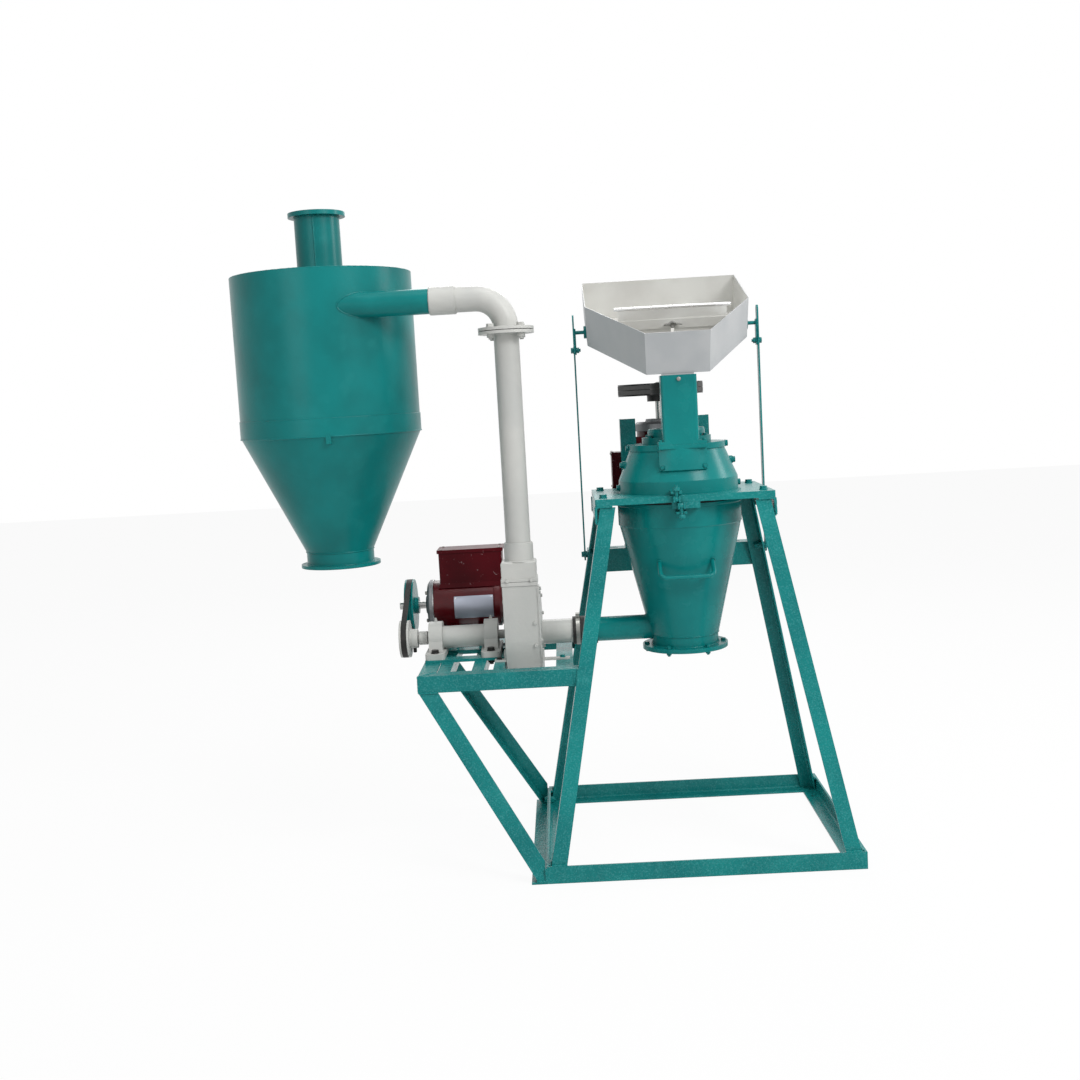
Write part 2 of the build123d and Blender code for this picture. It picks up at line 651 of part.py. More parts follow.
chute = Pos(*chute_centre, dome_top) * extrude(chute_section(0), chute_top - dome_top)
chute += block(saddle_x, (chute_front, feed_back + 6), (dome_top, chute_base))
chute -= Pos(*chute_centre, dome_top - 1) * extrude(chute_section(chute_wall), chute_top)
chute -= rod((0, 0, 0), Z_AXIS, housing_radius + gap, through)
chute_screws = [(x, chute_front + 9, chute_base) for x in (saddle_x[0] + 7, saddle_x[1] - 7)]
for cutter in holes(chute_screws, Z_AXIS, 3 + running, flange_thick + 11.5):
    chute -= cutter
    saddle -= cutter
saddle_bolts += set_on(bolt(6, flange_thick + 11, nut=False), chute_screws, Z_AXIS)
top_screw = [(0, chute_front, chute_top - 12)]
chute -= holes(top_screw, Y_AXIS, 3 + running, 8)[0]
saddle_bolts += set_on(bolt(6, chute_wall, nut=False), top_screw, (0, -1, 0))

save("dome_cover", dome)
save("bearing_housing", housing)
save("mill_liner", liner)
save("mill_screen", screen)
save("mill_shaft", mill_shaft)
save("rotor_disc", rotor_disc)
save("rotor_beaters", *beaters)
save("mill_pulley", mill_pulley)
save("mill_belts", *mill_belts)
save("lower_cone", lower_cone)
save("bottom_cover", bottom_cover)
save("cone_handle", cone_handle)
save("cone_outlet_pipe", outlet_pipe)
save("pipe_sleeve", pipe_sleeve)
save("sleeve_clamps", *clamps)
save("clamp_lugs", *clamp_parts)
save("dome_clamp_screw", dome_screw)
save("cone_clamp_screw", cone_screw)
save("feed_saddle", saddle)
save("feed_chute", chute)
save("mill_bolts", *dome_bolts, *saddle_bolts, *bottom_bolts)

# Mill motor: vertical on the uprights, shaft up, with a hollow for its rotor
core_radius = 52
motor_shaft_radius = 19
mill_motor = turned([(0, motor_low), (motor_radius - 14, motor_low), (motor_radius, motor_low + 12),
                     (motor_radius, motor_low + 62), (motor_radius - 5, motor_low + 64),
                     (motor_radius - 5, motor_high - 40), (motor_radius, motor_high - 38),
                     (motor_radius, motor_high - 16), (motor_radius - 8, motor_high - 9),
                     (55, motor_high - 9), (52, motor_high), (0, motor_high)], (motor_x, motor_y, 0))
motor_feet = []
for side in (-1, 1):
    motor_feet.append(block(sorted((motor_x + side * 60, motor_x + side * 132)),
                            (motor_foot_y, motor_foot_y + motor_foot_thick), motor_foot_z))
    motor_feet.append(block(sorted((motor_x + side * 60, motor_x + side * 72)),
                            (motor_foot_y, motor_y - 30), motor_foot_z))
for foot in motor_feet:
    mill_motor += foot
for cutter in holes(foot_bolt_points, Y_AXIS, 5 + bolt_slack, 30):
    mill_motor -= cutter
mill_motor -= rod((motor_x, motor_y, motor_low + 70), Z_AXIS, core_radius, motor_high - motor_low - 100)
mill_motor -= rod((motor_x, motor_y, motor_low + 20), Z_AXIS, motor_shaft_radius + running, through)
for angle in range(0, 360, 45):
    t = math.radians(angle)
    centre = (motor_x + 54 * math.cos(t), motor_y + 54 * math.sin(t))
    mill_motor -= Pos(*centre, motor_low) * Rot(0, 0, angle) * Box(26, 6, 14)

mill_motor_shaft_top = mill_pulley_bottom + mill_pulley_width / 2 + mill_motor_pulley_width / 2 + 4
mill_motor_shaft = turned([(0, motor_low + 24), (motor_shaft_radius, motor_low + 24),
                           (motor_shaft_radius, motor_low + 71), (core_radius - 1, motor_low + 71),
                           (core_radius - 1, motor_high - 31), (motor_shaft_radius, motor_high - 31),
                           (motor_shaft_radius, mill_motor_shaft_top - 2),
                           (motor_shaft_radius - 2, mill_motor_shaft_top), (0, mill_motor_shaft_top)],
                          (motor_x, motor_y, 0))
wide = mill_motor_pulley_width
wide_bottom = belt_middle - wide / 2
big_rim = mill_motor_pulley_radius
mill_motor_pulley = turned([(motor_shaft_radius + hub_fit, -20), (45, -20), (45, 12), (big_rim - 26, 12),
                            (big_rim - 26, 0)]
                           + v_profile(big_rim, wide, [wide / 2 - 7.5, wide / 2 + 7.5], *groove)
                           + [(big_rim - 26, wide), (big_rim - 26, wide - 12), (45, wide - 12), (45, wide),
                              (motor_shaft_radius + hub_fit, wide)], (motor_x, motor_y, wide_bottom))

box_face = motor_x - 174
box_z = (motor_low + 113, motor_low + 236)
mill_box = block((box_face + 7, motor_x - 46), (motor_y - 43, motor_y + 43), box_z)
mill_box = fillet(mill_box.edges().filter_by(Axis.X), 8)
mill_box -= rod((motor_x, motor_y, motor_low), Z_AXIS, motor_radius - 5 + running, through)
mill_box -= block((box_face + 13, motor_x - 86), (motor_y - 38, motor_y + 38), (box_z[0] + 5, box_z[1] - 5))
mill_box += block((box_face, box_face + 7), (motor_y - 45, motor_y + 45), (box_z[0] - 2, box_z[1] + 2))

# Hopper tray, drawn flat with its floor on z = 0 and its front edge on y = 0, then tipped down to the chute
tray_place = Plane(origin=(0, hopper_front_y, hopper_front_z), x_dir=X_AXIS,
                   z_dir=(0, -math.sin(math.radians(hopper_tilt)), math.cos(math.radians(hopper_tilt))))
flare = hopper_height * math.tan(math.radians(hopper_flare))


def tray_half(y):
    """Half width of the tray rim at a distance from its front."""
    return hopper_front_half + (hopper_rear_half - hopper_front_half) * min(y / hopper_taper, 1)


def tray_outline(inset, height):
    """Five-cornered outline of the tray at a height, inset from the rim line."""
    shrink = flare * (1 - height / hopper_height) + inset
    corners = [(-hopper_front_half, 0), (hopper_front_half, 0), (hopper_rear_half, hopper_taper),
               (hopper_rear_half, hopper_length), (-hopper_rear_half, hopper_length),
               (-hopper_rear_half, hopper_taper)]
    rim = make_face(Polyline(*corners, close=True)).face()
    face = offset(rim, -shrink, kind=Kind.INTERSECTION) if abs(shrink) > 0.01 else rim
    return Pos(0, 0, height) * face


def tray_solid(inset, low, high):
    """Solid between two outlines of the flared tray."""
    return loft([tray_outline(inset, low).face(), tray_outline(inset, high).face()], ruled=True)


tray = tray_solid(0, 0, hopper_height) - tray_solid(hopper_sheet, hopper_sheet, hopper_height + 1)

# Gate: a sheet that slides up across the tray, held by a screw through a slot to a cross bar
gate_y = 163
gate_sheet = 2.5
gate_low = 12
gate_high = 158
gate_travel = 45
bar_z = 108
bar_wide = 28
bar_thick = 4
gate_edge_low = tray_half(gate_y) - flare - 6
gate_edge_high = tray_half(gate_y) - 6
gate = Plane.XZ.offset(-gate_y) * extrude(
    make_face(Polyline((-gate_edge_low, gate_low), (gate_edge_low, gate_low), (gate_edge_high, gate_high),
                       (-gate_edge_high, gate_high), close=True)), -gate_sheet)
gate += rod((-gate_edge_high - 5, gate_y + 2, gate_high), X_AXIS, 4.5, 2 * gate_edge_high + 10)
slot_low = bar_z - gate_travel - 5
slot_high = bar_z + 6
slot_cut = Pos(0, gate_y, (slot_low + slot_high) / 2) * Box(9.5, 20, slot_high - slot_low)
gate -= slot_cut
bar_front = gate_y - gap - bar_thick
bar_half = tray_half(bar_front) - hopper_sheet - 2.2
bar = block((-bar_half, bar_half), (bar_front, bar_front + bar_thick),
            (bar_z - bar_wide / 2, bar_z + bar_wide / 2))
bar = bar & tray_solid(hopper_sheet, 1, hopper_height - 0.5)
bar -= rod((0, bar_front - 5, bar_z), Y_AXIS, 4 + running, 20)
nut_face = gate_y + gate_sheet + gap
gate_screw = set_on(bolt(8, nut_face - bar_front + gap), [(0, bar_front, bar_z)], (0, -1, 0))

# The tray's floor opens into a short spout that dips just inside the chute, so that it lifts clear of the
# chute's walls before the hanger strips have carried it back to them
spout_wall = 1.5
spout_dip = 1
spout_half = chute_half - chute_wall - 4
spout_y = (chute_front + chute_wall + 5, chute_front + chute_depth - chute_wall - 5)
spout_z = (chute_top - spout_dip, chute_top + 40)
spout = block((-spout_half, spout_half), spout_y, spout_z)
spout -= tray_place * tray_solid(hopper_sheet / 2, hopper_sheet / 2, hopper_height)
spout_room = block((-spout_half + spout_wall, spout_half - spout_wall),
                   (spout_y[0] + spout_wall, spout_y[1] - spout_wall), (spout_z[0] - 1, spout_z[1]))
tray = tray_place * tray + spout - spout_room
gate = tray_place * gate
bar = tray_place * bar
gate_screw = [tray_place * screw for screw in gate_screw]

# Brackets on the tray sides turn on the upper bolts of the hanger strips
bracket_rod_z = hanger_high_z + 56
bracket_thick = 4
strip_half = 14
hopper_brackets = []
wall_solid = tray_place * tray_solid(0, 0, hopper_height)
for side in (-1, 1):
    near = side * (hanger_inner - gap - bracket_thick)
    far = side * (hanger_inner - gap)
    plate = block(sorted((near, far)), (hanger_y - 12, hanger_y + 12),
                  (hanger_high_z - 14, bracket_rod_z + 12))
    arm = rod((far, hanger_y, bracket_rod_z), (-side, 0, 0), 6, hanger_inner - gap - hopper_rear_half + 30)
    foot = rod((side * (hopper_rear_half + 5), hanger_y, bracket_rod_z), (-side, 0, 0), 20, 14)
    bracket = (plate + arm + foot) - wall_solid
    bracket = bracket.solids().sort_by(SortBy.VOLUME)[-1]
    bracket -= rod((side * 260, hanger_y, hanger_high_z), (side, 0, 0), hanger_bolt / 2 + running, 60)
    hopper_brackets.append(bracket)

# Hanger strips stand on the lower bolts at the rear legs
strip_high = hanger_high_z + 112
strips = []
for side in (-1, 1):
    strip = block(sorted((side * hanger_inner, side * (hanger_inner + strip_thick))),
                  (hanger_y - strip_half, hanger_y + strip_half), (strip_low, strip_high))
    strip = fillet(strip.edges().filter_by(Axis.X), strip_half - 2)
    for z in (hanger_low_z, hanger_high_z):
        strip -= rod((side * 260, hanger_y, z), (side, 0, 0), hanger_bolt / 2 + running, 60)
    strips.append(strip)
hanger_pins = []
strip_bolts = []
for side in (-1, 1):
    out = (side, 0, 0)
    face = hanger_inner + strip_thick + gap
    strip_bolts += set_on(bolt(hanger_bolt, face - boss_inner), [(side * face, hanger_y, hanger_low_z)], out)
    hanger_pins += set_on(bolt(hanger_bolt, strip_thick + bracket_thick + 3 * gap),
                          [(side * face, hanger_y, hanger_high_z)], out)

# Shelf: rails welded to the stand's legs, cross bars for the blower bearings and its motor
shelf_low = shelf_top - shelf_leg
main_reach = -leg_outer(shelf_top)[0] + 20
shelf_ends = [angle_bar((shelf_left, side * shelf_half_depth, shelf_top),
                        (main_reach, side * shelf_half_depth, shelf_top),
                        (0, -side, 0), (0, 0, -1), shelf_leg, shelf_leg, shelf_thick) for side in (-1, 1)]
left_rail = angle_bar((shelf_left, -shelf_half_depth, shelf_top), (shelf_left, shelf_half_depth, shelf_top),
                      X_AXIS, (0, 0, -1), shelf_leg, shelf_leg, shelf_thick)
right_rail = angle_bar((shelf_right, -shelf_half_depth, shelf_top),
                       (shelf_right, shelf_half_depth, shelf_top),
                       (-1, 0, 0), (0, 0, -1), shelf_leg, shelf_leg, shelf_thick)
cross_bars = []
for x, lean, width in ((-712, -1, 38), (-613, -1, 36), (-555, -1, 31)):
    cross_bars.append(angle_bar((x, -shelf_half_depth, shelf_top), (x, shelf_half_depth, shelf_top),
                                (lean, 0, 0), (0, 0, -1), width, 40, 4))
shelf_rails = [rail - front_legs[0] - rear_legs[0] for rail in shelf_ends]
shelf_rails += [rail - shelf_ends[0] - shelf_ends[1] for rail in (left_rail, right_rail)]
cross_bars = [bar_ - shelf_ends[0] - shelf_ends[1] for bar_ in cross_bars]

# Side foot on the base rail and the two braces up to the shelf corners
foot_angle = angle_bar((-half_w, -half_d, 0), (-half_w, half_d, 0),
                       (-1, 0, 0), Z_AXIS, leg_size, leg_size, leg_thick)
for cutter in holes(side_bolt_points, X_AXIS, 6 + bolt_slack, 20):
    foot_angle -= cutter
brace_foot_x = -half_w - 26
side_braces = []
for side in (-1, 1):
    brace = angle_bar((brace_foot_x, side * (half_d - 2), leg_thick),
                      (shelf_left, side * shelf_half_depth, shelf_low),
                      X_AXIS, (0, -side, 0), 56, 46, shelf_thick)
    brace = coped(brace, [foot_angle])
    side_braces.append(brace - block((-half_w - leg_thick, 0), (-half_d - 20, half_d + 20), (0, 90)))

# Flat rails carry the bearings and two channels carry the blower motor
bearing_bolt_y = 73
rail_thick = 8
bearing_rails = []
for side in (-1, 1):
    bearing_rails.append(block((shelf_left + 3, blower_x - 60), sorted((side * 48, side * 98)),
                               (shelf_top, shelf_top + rail_thick)))
bearing_foot = shelf_top + rail_thick
block_foot_thick = 18
bearing_points = [(x, side * bearing_bolt_y, bearing_foot + block_foot_thick)
                  for x in bearing_x for side in (-1, 1)]
for cutter in holes(bearing_points, Z_AXIS, 6 + bolt_slack, 32):
    bearing_rails = [rail - cutter for rail in bearing_rails]
    cross_bars = [bar_ - cutter for bar_ in cross_bars]
    shelf_rails = [rail - cutter for rail in shelf_rails]
slide_high = 45
slide_x = (-731, -631)
slide_wide = 36
slide_wall = 5
slide_slots = (fan_motor_y - 62, fan_motor_y + 58)
slide_rails = []
for x in slide_x:
    rail = block((x - slide_wide / 2, x + slide_wide / 2), (fan_motor_y - 92, fan_motor_y + 88),
                 (shelf_top, shelf_top + slide_high))
    rail -= block((x - slide_wide / 2 + slide_wall, x + slide_wide / 2 - slide_wall),
                  (fan_motor_y - 102, fan_motor_y + 98), (shelf_top - 1, shelf_top + slide_high - slide_wall))
    for y in slide_slots:
        rail -= Pos(x, y, shelf_top + slide_high) * Rot(0, 0, 90) * extrude(SlotOverall(44, 9), 20, both=True)
    slide_rails.append(rail)

# Plummer blocks, their bearings and the cover tube between them
block_radius = 50
block_half = 21
block_bore = 31
cheek_half = block_radius * 0.92
plummer_blocks = []
for x in bearing_x:
    foot = block((x - 30, x + 30), (-95, 95), (bearing_foot, bearing_foot + block_foot_thick))
    foot = fillet(foot.edges().filter_by(Axis.Z), 12)
    foot_top = bearing_foot + block_foot_thick
    cheek = make_face(Polyline((-57, foot_top), (57, foot_top), (cheek_half, duct_height + 12),
                               (-cheek_half, duct_height + 12), close=True))
    body = Plane(origin=(x - block_half, 0, 0), x_dir=Y_AXIS, z_dir=X_AXIS) * extrude(cheek, 2 * block_half)
    body += rod((x - block_half, 0, duct_height), X_AXIS, block_radius, 2 * block_half)
    body += foot
    body += rod((x, 0, duct_height + block_radius - 3), Z_AXIS, 5, 8)
    body += rod((x, 0, duct_height + block_radius + 5), Z_AXIS, 3, 6)
    body -= rod((x - 30, 0, duct_height), X_AXIS, block_bore, 60)
    for cutter in holes([p for p in bearing_points if p[0] == x], Z_AXIS, 6 + bolt_slack, 32):
        body -= cutter
    plummer_blocks.append(body)
bearings += [ball_bearing((x - 16, 0, duct_height), X_AXIS, block_bore, blower_shaft_radius + running, 32)
             for x in bearing_x]
tube_ends = (bearing_x[0] + block_half, bearing_x[1] - block_half)
shaft_tube = rod((tube_ends[0], 0, duct_height), X_AXIS, block_bore + 3, tube_ends[1] - tube_ends[0])
shaft_tube -= rod((tube_ends[0] - 1, 0, duct_height), X_AXIS, block_bore, through)

# Blower: a spiral casing open on its right side and at the outlet, with a paddle wheel inside
casing_left = blower_x - blower_width / 2
casing_right = blower_x + blower_width / 2
outlet_z = duct_height + 173
tongue_y = -60
spiral_end = 360 - math.degrees(math.acos(-tongue_y / volute_small))


def spiral(inset):
    """Points of the casing spiral from the front, under the wheel and over to the tongue."""
    points = []
    for i in range(0, 13):
        turn = spiral_end * i / 12
        radius = volute_big - (volute_big - volute_small) * turn / spiral_end - inset
        t = math.radians(turn)
        points.append((-radius * math.cos(t), duct_height - radius * math.sin(t)))
    return points


def casing_solid(inset, left, right, top):
    """Solid spiral casing with its outlet, inset from the outside."""
    points = spiral(inset)
    curve = Spline(*points)
    start, end = points[0], points[-1]
    tongue = tongue_y - inset
    straight = Polyline(end, (tongue, end[1] + 8), (tongue, top), (start[0], top), start)
    face = make_face([*curve.edges(), *straight.edges()])
    return Plane(origin=(left, 0, 0), x_dir=Y_AXIS, z_dir=X_AXIS) * extrude(face, right - left)


cover_thick = 5
lip = 2.5
lip_x = (casing_left - lip, casing_right + lip)
lip_y = (-volute_big - lip, tongue_y + lip)
side_wall = 4
casing = casing_solid(0, casing_left, casing_right, outlet_z + 7)
casing += block(lip_x, lip_y, (outlet_z - 5, outlet_z + 7))
casing -= casing_solid(sheet, casing_left + side_wall, casing_right - side_wall, outlet_z + 20)
casing -= rod((casing_right - 10, 0, duct_height), X_AXIS, impeller_radius + 3, 30)
casing -= rod((casing_left - 5, 0, duct_height), X_AXIS, blower_shaft_radius + 2, 20)
cover_high = outlet_z - 14
edge_points = spiral(9)
cover_points = [(casing_right + cover_thick, *edge_points[i]) for i in (0, 2, 4, 6, 8, 10)]
cover_points += [(casing_right + cover_thick, y, cover_high - 12) for y in (-volute_big + 9, tongue_y - 9)]
inlet_span = (casing_right, sleeve_middle - 6)
blower_cover = casing_solid(-2, casing_right, casing_right + cover_thick, cover_high)
blower_cover += rod((casing_right, 0, duct_height), X_AXIS, duct_radius, inlet_span[1] - inlet_span[0])
blower_cover -= rod((casing_right - 1, 0, duct_height), X_AXIS, duct_radius - duct_wall, 300)
for cutter in holes(cover_points, X_AXIS, 3 + running, 12):
    blower_cover -= cutter
    casing -= cutter
blower_bolts = set_on(bolt(6, cover_thick + side_wall, nut=False), cover_points, X_AXIS)

# Outlet stub on the casing: square duct, closing plate and round socket for the riser
socket_low = outlet_z + 68
socket_high = socket_low + 52
stub_x = (casing_left, casing_right)
stub_y = (-volute_big, tongue_y)
stub_low = outlet_z + 8
tab_x = (casing_left + 16, casing_right - 16)
stub = block(stub_x, stub_y, (stub_low, socket_low))
stub += block(lip_x, lip_y, (stub_low, stub_low + 9))
hollow_x = (stub_x[0] + sheet, stub_x[1] - sheet)
hollow_y = (stub_y[0] + sheet, stub_y[1] - sheet)
stub -= block(hollow_x, hollow_y, (stub_low - 1, socket_low - sheet))
stub = chamfer(stub.faces().sort_by(Axis.Z)[-1].edges(), 4)
stub += rod((riser_x, riser_y, socket_low - sheet), Z_AXIS, duct_radius + 6.5,
            socket_high - socket_low + sheet)
stub -= rod((riser_x, riser_y, socket_low - 10), Z_AXIS, duct_radius + running, 100)
outlet_gasket = block(stub_x, stub_y, (stub_low - 1, stub_low))
outlet_gasket -= block(hollow_x, hollow_y, (stub_low - 2, stub_low + 1))
tab_points = [(x, -volute_big - lip, stub_low + 4) for x in tab_x]
front_points = [(casing_right - 12, -volute_big, duct_height + height) for height in (54, -14)]
front_points += tab_points
for cutter in holes(front_points, Y_AXIS, 3 + running, 6):
    stub -= cutter
    casing -= cutter
blower_bolts += set_on(bolt(6, 5, nut=False), front_points, (0, -1, 0))

# Feet that fix the casing to the shelf
left_feet = []
for y_span in ((-134, -106), (99, 121)):
    foot = block((casing_left - 36, casing_left), y_span, (shelf_top, shelf_top + 6))
    left_feet.append(foot + block((casing_left - 6, casing_left), y_span, (shelf_top, shelf_top + 34)))
cover_face = casing_right + cover_thick
right_foot = block((cover_face, shelf_right - 8), (-142, -119), (shelf_top, shelf_top + 6))
right_foot += block((cover_face, cover_face + 6), (-142, -119), (shelf_top, shelf_top + 34))
foot_points = [(casing_left - 22, y, shelf_top + 6) for y in (-120, 110)]
foot_points.append((shelf_right - 30, -130.5, shelf_top + 6))
foot_cutters = holes(foot_points, Z_AXIS, 4 + bolt_slack, 20)
for cutter in foot_cutters:
    left_feet = [foot - cutter for foot in left_feet]
    right_foot -= cutter
    cross_bars = [bar_ - cutter for bar_ in cross_bars]
    shelf_rails = [rail - cutter for rail in shelf_rails]
shelf_bolts = set_on(bolt(8, 11), foot_points[2:], Z_AXIS) + set_on(bolt(8, 10), foot_points[:2], Z_AXIS)
inner_bearing = [p for p in bearing_points if p[0] == bearing_x[1]]
outer_bearing = [p for p in bearing_points if p[0] == bearing_x[0]]
shelf_bolts += set_on(bolt(12, block_foot_thick + rail_thick), inner_bearing, Z_AXIS)
shelf_bolts += set_on(bolt(12, block_foot_thick + rail_thick + 5), outer_bearing, Z_AXIS)

blower_shaft_left = blower_belt_x - 18
blower_shaft_long = casing_left + 62 - blower_shaft_left
wheel_left = casing_left + 10
blower_shaft = turned([(0, 0), (blower_shaft_radius - 2, 0), (blower_shaft_radius, 2),
                       (blower_shaft_radius, blower_shaft_long - 2),
                       (blower_shaft_radius - 2, blower_shaft_long), (0, blower_shaft_long)],
                      (blower_shaft_left, 0, duct_height), X_AXIS)
for x in (bearing_x[0] + 16 + gap, bearing_x[1] - 26 - gap):
    blower_shaft += rod((x, 0, duct_height), X_AXIS, blower_shaft_radius + 7, 10)
impeller = turned([(blower_shaft_radius + hub_fit, 0), (impeller_radius, 0), (impeller_radius, 3), (28, 3),
                   (25, 48), (blower_shaft_radius + hub_fit, 48)], (wheel_left, 0, duct_height), X_AXIS)
for angle in range(0, 360, 45):
    paddle = Pos(0, (impeller_radius + 22) / 2, 0) * Box(60, impeller_radius - 24, 4)
    impeller += Pos(wheel_left + 32, 0, duct_height) * Rot(angle, 0, 0) * paddle


def bored_pulley(radius, width, bore, hub_radius, hub_length, middle, centre, axis, spot):
    """Single-groove pulley with a hub on its upper side and a set-screw spot in the hub."""
    profile = [(bore + hub_fit, 0)] + v_profile(radius, width, [width / 2], *wide_groove)
    profile += [(hub_radius, width), (hub_radius, width + hub_length), (bore + hub_fit, width + hub_length)]
    pulley = turned(profile, Vector(*centre) + Vector(*axis) * (middle - width / 2), axis)
    hub_x = Vector(*centre) + Vector(*axis) * (middle + width / 2 + hub_length / 2)
    return pulley - rod(hub_x + Vector(0, 0, bore + 3), Z_AXIS, spot, hub_radius)


wide_belt = 17
wide_thick = 11
wide_groove = (wide_thick + 3, wide_belt + 2 * groove_side - 0.4)
blower_pulley = bored_pulley(blower_pulley_radius, 30, blower_shaft_radius, 30, 24, 0,
                             (blower_belt_x, 0, duct_height), X_AXIS, 4)
fan_shaft_radius = 12
fan_motor_pulley = bored_pulley(fan_motor_pulley_radius, 28, fan_shaft_radius, 27, 12, 0,
                                (blower_belt_x, fan_motor_y, fan_motor_z), X_AXIS, 4)
belt_plane = Plane(origin=(blower_belt_x, 0, 0), x_dir=Y_AXIS, z_dir=X_AXIS)
blower_belt = v_belt((0, duct_height), blower_pulley_radius, (fan_motor_y, fan_motor_z),
                     fan_motor_pulley_radius, belt_plane, wide_belt, wide_thick)

# Blower motor: horizontal on the channels, a hollow for its rotor and a switch box on its back
fan_left = -817
fan_right = -562
fan_core = 46
fan_length = fan_right - fan_left
fan_motor = turned([(0, 0), (28, 0), (32, 6), (fan_motor_radius - 12, 8), (fan_motor_radius, 16),
                    (fan_motor_radius, 29), (fan_motor_radius - 3, 31),
                    (fan_motor_radius - 3, fan_length - 31), (fan_motor_radius, fan_length - 29),
                    (fan_motor_radius, fan_length - 12), (fan_motor_radius - 14, fan_length),
                    (0, fan_length)], (fan_left, fan_motor_y, fan_motor_z), X_AXIS)
fan_foot = shelf_top + slide_high
fan_points = [(x, y, fan_foot + 10) for x in slide_x for y in slide_slots]
for x in slide_x:
    fan_motor += block((x - 20, x + 20), (fan_motor_y - 80, fan_motor_y + 80), (fan_foot, fan_foot + 10))
    fan_motor += block((x - 20, x + 20), (fan_motor_y - 44, fan_motor_y + 44), (fan_foot, fan_motor_z - 40))
fan_motor -= rod((fan_left + 36, fan_motor_y, fan_motor_z), X_AXIS, fan_core, fan_length - 72)
fan_shaft_bore = fan_shaft_radius + running
fan_motor -= rod((fan_left - 5, fan_motor_y, fan_motor_z), X_AXIS, fan_shaft_bore, fan_length - 10)
for cutter in holes(fan_points, Z_AXIS, 4 + bolt_slack, 12):
    fan_motor -= cutter
for angle in range(0, 360, 45):
    slot = Pos(fan_left + 8, 0, 50) * Box(8, 8, 22)
    fan_motor -= Pos(0, fan_motor_y, fan_motor_z) * Rot(angle + 22.5, 0, 0) * slot
shelf_bolts += set_on(bolt(8, 15), fan_points, Z_AXIS)
fan_shaft_left = blower_belt_x - 37
fan_motor_shaft = rod((fan_shaft_left, fan_motor_y, fan_motor_z), X_AXIS, fan_shaft_radius,
                      fan_right - 16 - fan_shaft_left)
fan_motor_shaft += rod((fan_left + 37, fan_motor_y, fan_motor_z), X_AXIS, fan_core - 1, fan_length - 74)
box_half = (102, 52)
box_x = fan_right - box_half[0] + 1
fan_box_low = fan_motor_z + 50
fan_box_top = fan_motor_z + 170
skirt_top = fan_box_low + 23
skirt_out = 4


def box_outline(out, height):
    """Rectangle of the switch box at a height, grown by a margin."""
    return Pos(box_x, fan_motor_y, height) * Rectangle(2 * (box_half[0] + out), 2 * (box_half[1] + out))


fan_box = fillet(extrude(box_outline(0, fan_box_low), fan_box_top - fan_box_low).edges().filter_by(Axis.Z), 8)
fan_box += extrude(box_outline(skirt_out, fan_box_low), 9)
fan_box += loft([box_outline(skirt_out, fan_box_low + 9).face(), box_outline(0, skirt_top).face()],
                ruled=True)
fan_box -= rod((fan_left, fan_motor_y, fan_motor_z), X_AXIS, fan_motor_radius + running, through)
box_room_low = fan_motor_z + fan_motor_radius + 6
fan_box -= extrude(box_outline(-5, box_room_low), fan_box_top - 5 - box_room_low)
fan_box += extrude(box_outline(4, fan_box_top), 11)

# Riser, its bolted flange joint, the elbow and the coupling before the cyclone
flange_radius = 82.5
flange_gap = 2
bend_z = cyclone_top - inlet_drop
riser_flange_z = cyclone_top - inlet_drop - elbow_rise
riser = rod((riser_x, riser_y, socket_low + 2), Z_AXIS, duct_radius, riser_flange_z - socket_low - 2)
riser += rod((riser_x, riser_y, riser_flange_z), Z_AXIS, flange_radius, 9)
riser -= rod((riser_x, riser_y, 0), Z_AXIS, duct_radius - duct_wall, through)
upper_flange_z = riser_flange_z + 9 + flange_gap
joint_gasket = rod((riser_x, riser_y, riser_flange_z + 9), Z_AXIS, flange_radius - 2, flange_gap)
joint_gasket -= rod((riser_x, riser_y, riser_flange_z), Z_AXIS, duct_radius - duct_wall, 30)
joint_points = ring_points(62.5, 4, 45, (riser_x, riser_y), upper_flange_z + 9)
coupling_span = (-715, -640)
coupling_middle = sum(coupling_span) / 2
path = FilletPolyline((riser_x, riser_y, upper_flange_z), (riser_x, riser_y, bend_z),
                      (coupling_middle + 4, riser_y, bend_z), radius=elbow_radius - 0.5)
tube_face = Circle(duct_radius) - Circle(duct_radius - duct_wall)
elbow = sweep(Plane(origin=(riser_x, riser_y, upper_flange_z)) * tube_face, path=path)
elbow += rod((riser_x, riser_y, upper_flange_z), Z_AXIS, flange_radius, 9) - rod(
    (riser_x, riser_y, upper_flange_z - 1), Z_AXIS, duct_radius - 0.5, 20)
for cutter in holes(joint_points, Z_AXIS, 6 + bolt_slack, 30):
    riser -= cutter
    elbow -= cutter
    joint_gasket -= cutter
joint_bolts = set_on(bolt(12, 18 + flange_gap), joint_points, Z_AXIS)
coupling = rod((coupling_span[0], riser_y, bend_z), X_AXIS, duct_radius + 4.5,
               coupling_span[1] - coupling_span[0])
coupling -= rod((coupling_span[0] - 1, riser_y, bend_z), X_AXIS, duct_radius + running, through)

# Cyclone: shell, tangential inlet, discharge flange and the outlet spigot that reaches inside
cylinder_low = cyclone_top - cyclone_cylinder
wall = 2


def cyclone_profile(inset):
    """Half outline of the cyclone at an inset from its outside."""
    r, n = cyclone_radius - inset, cyclone_neck_radius - inset
    return [(0, cyclone_flange_z - inset), (n, cyclone_flange_z - inset), (n, cyclone_neck_z),
            (r, cylinder_low), (r, cyclone_top - inset), (0, cyclone_top - inset)]


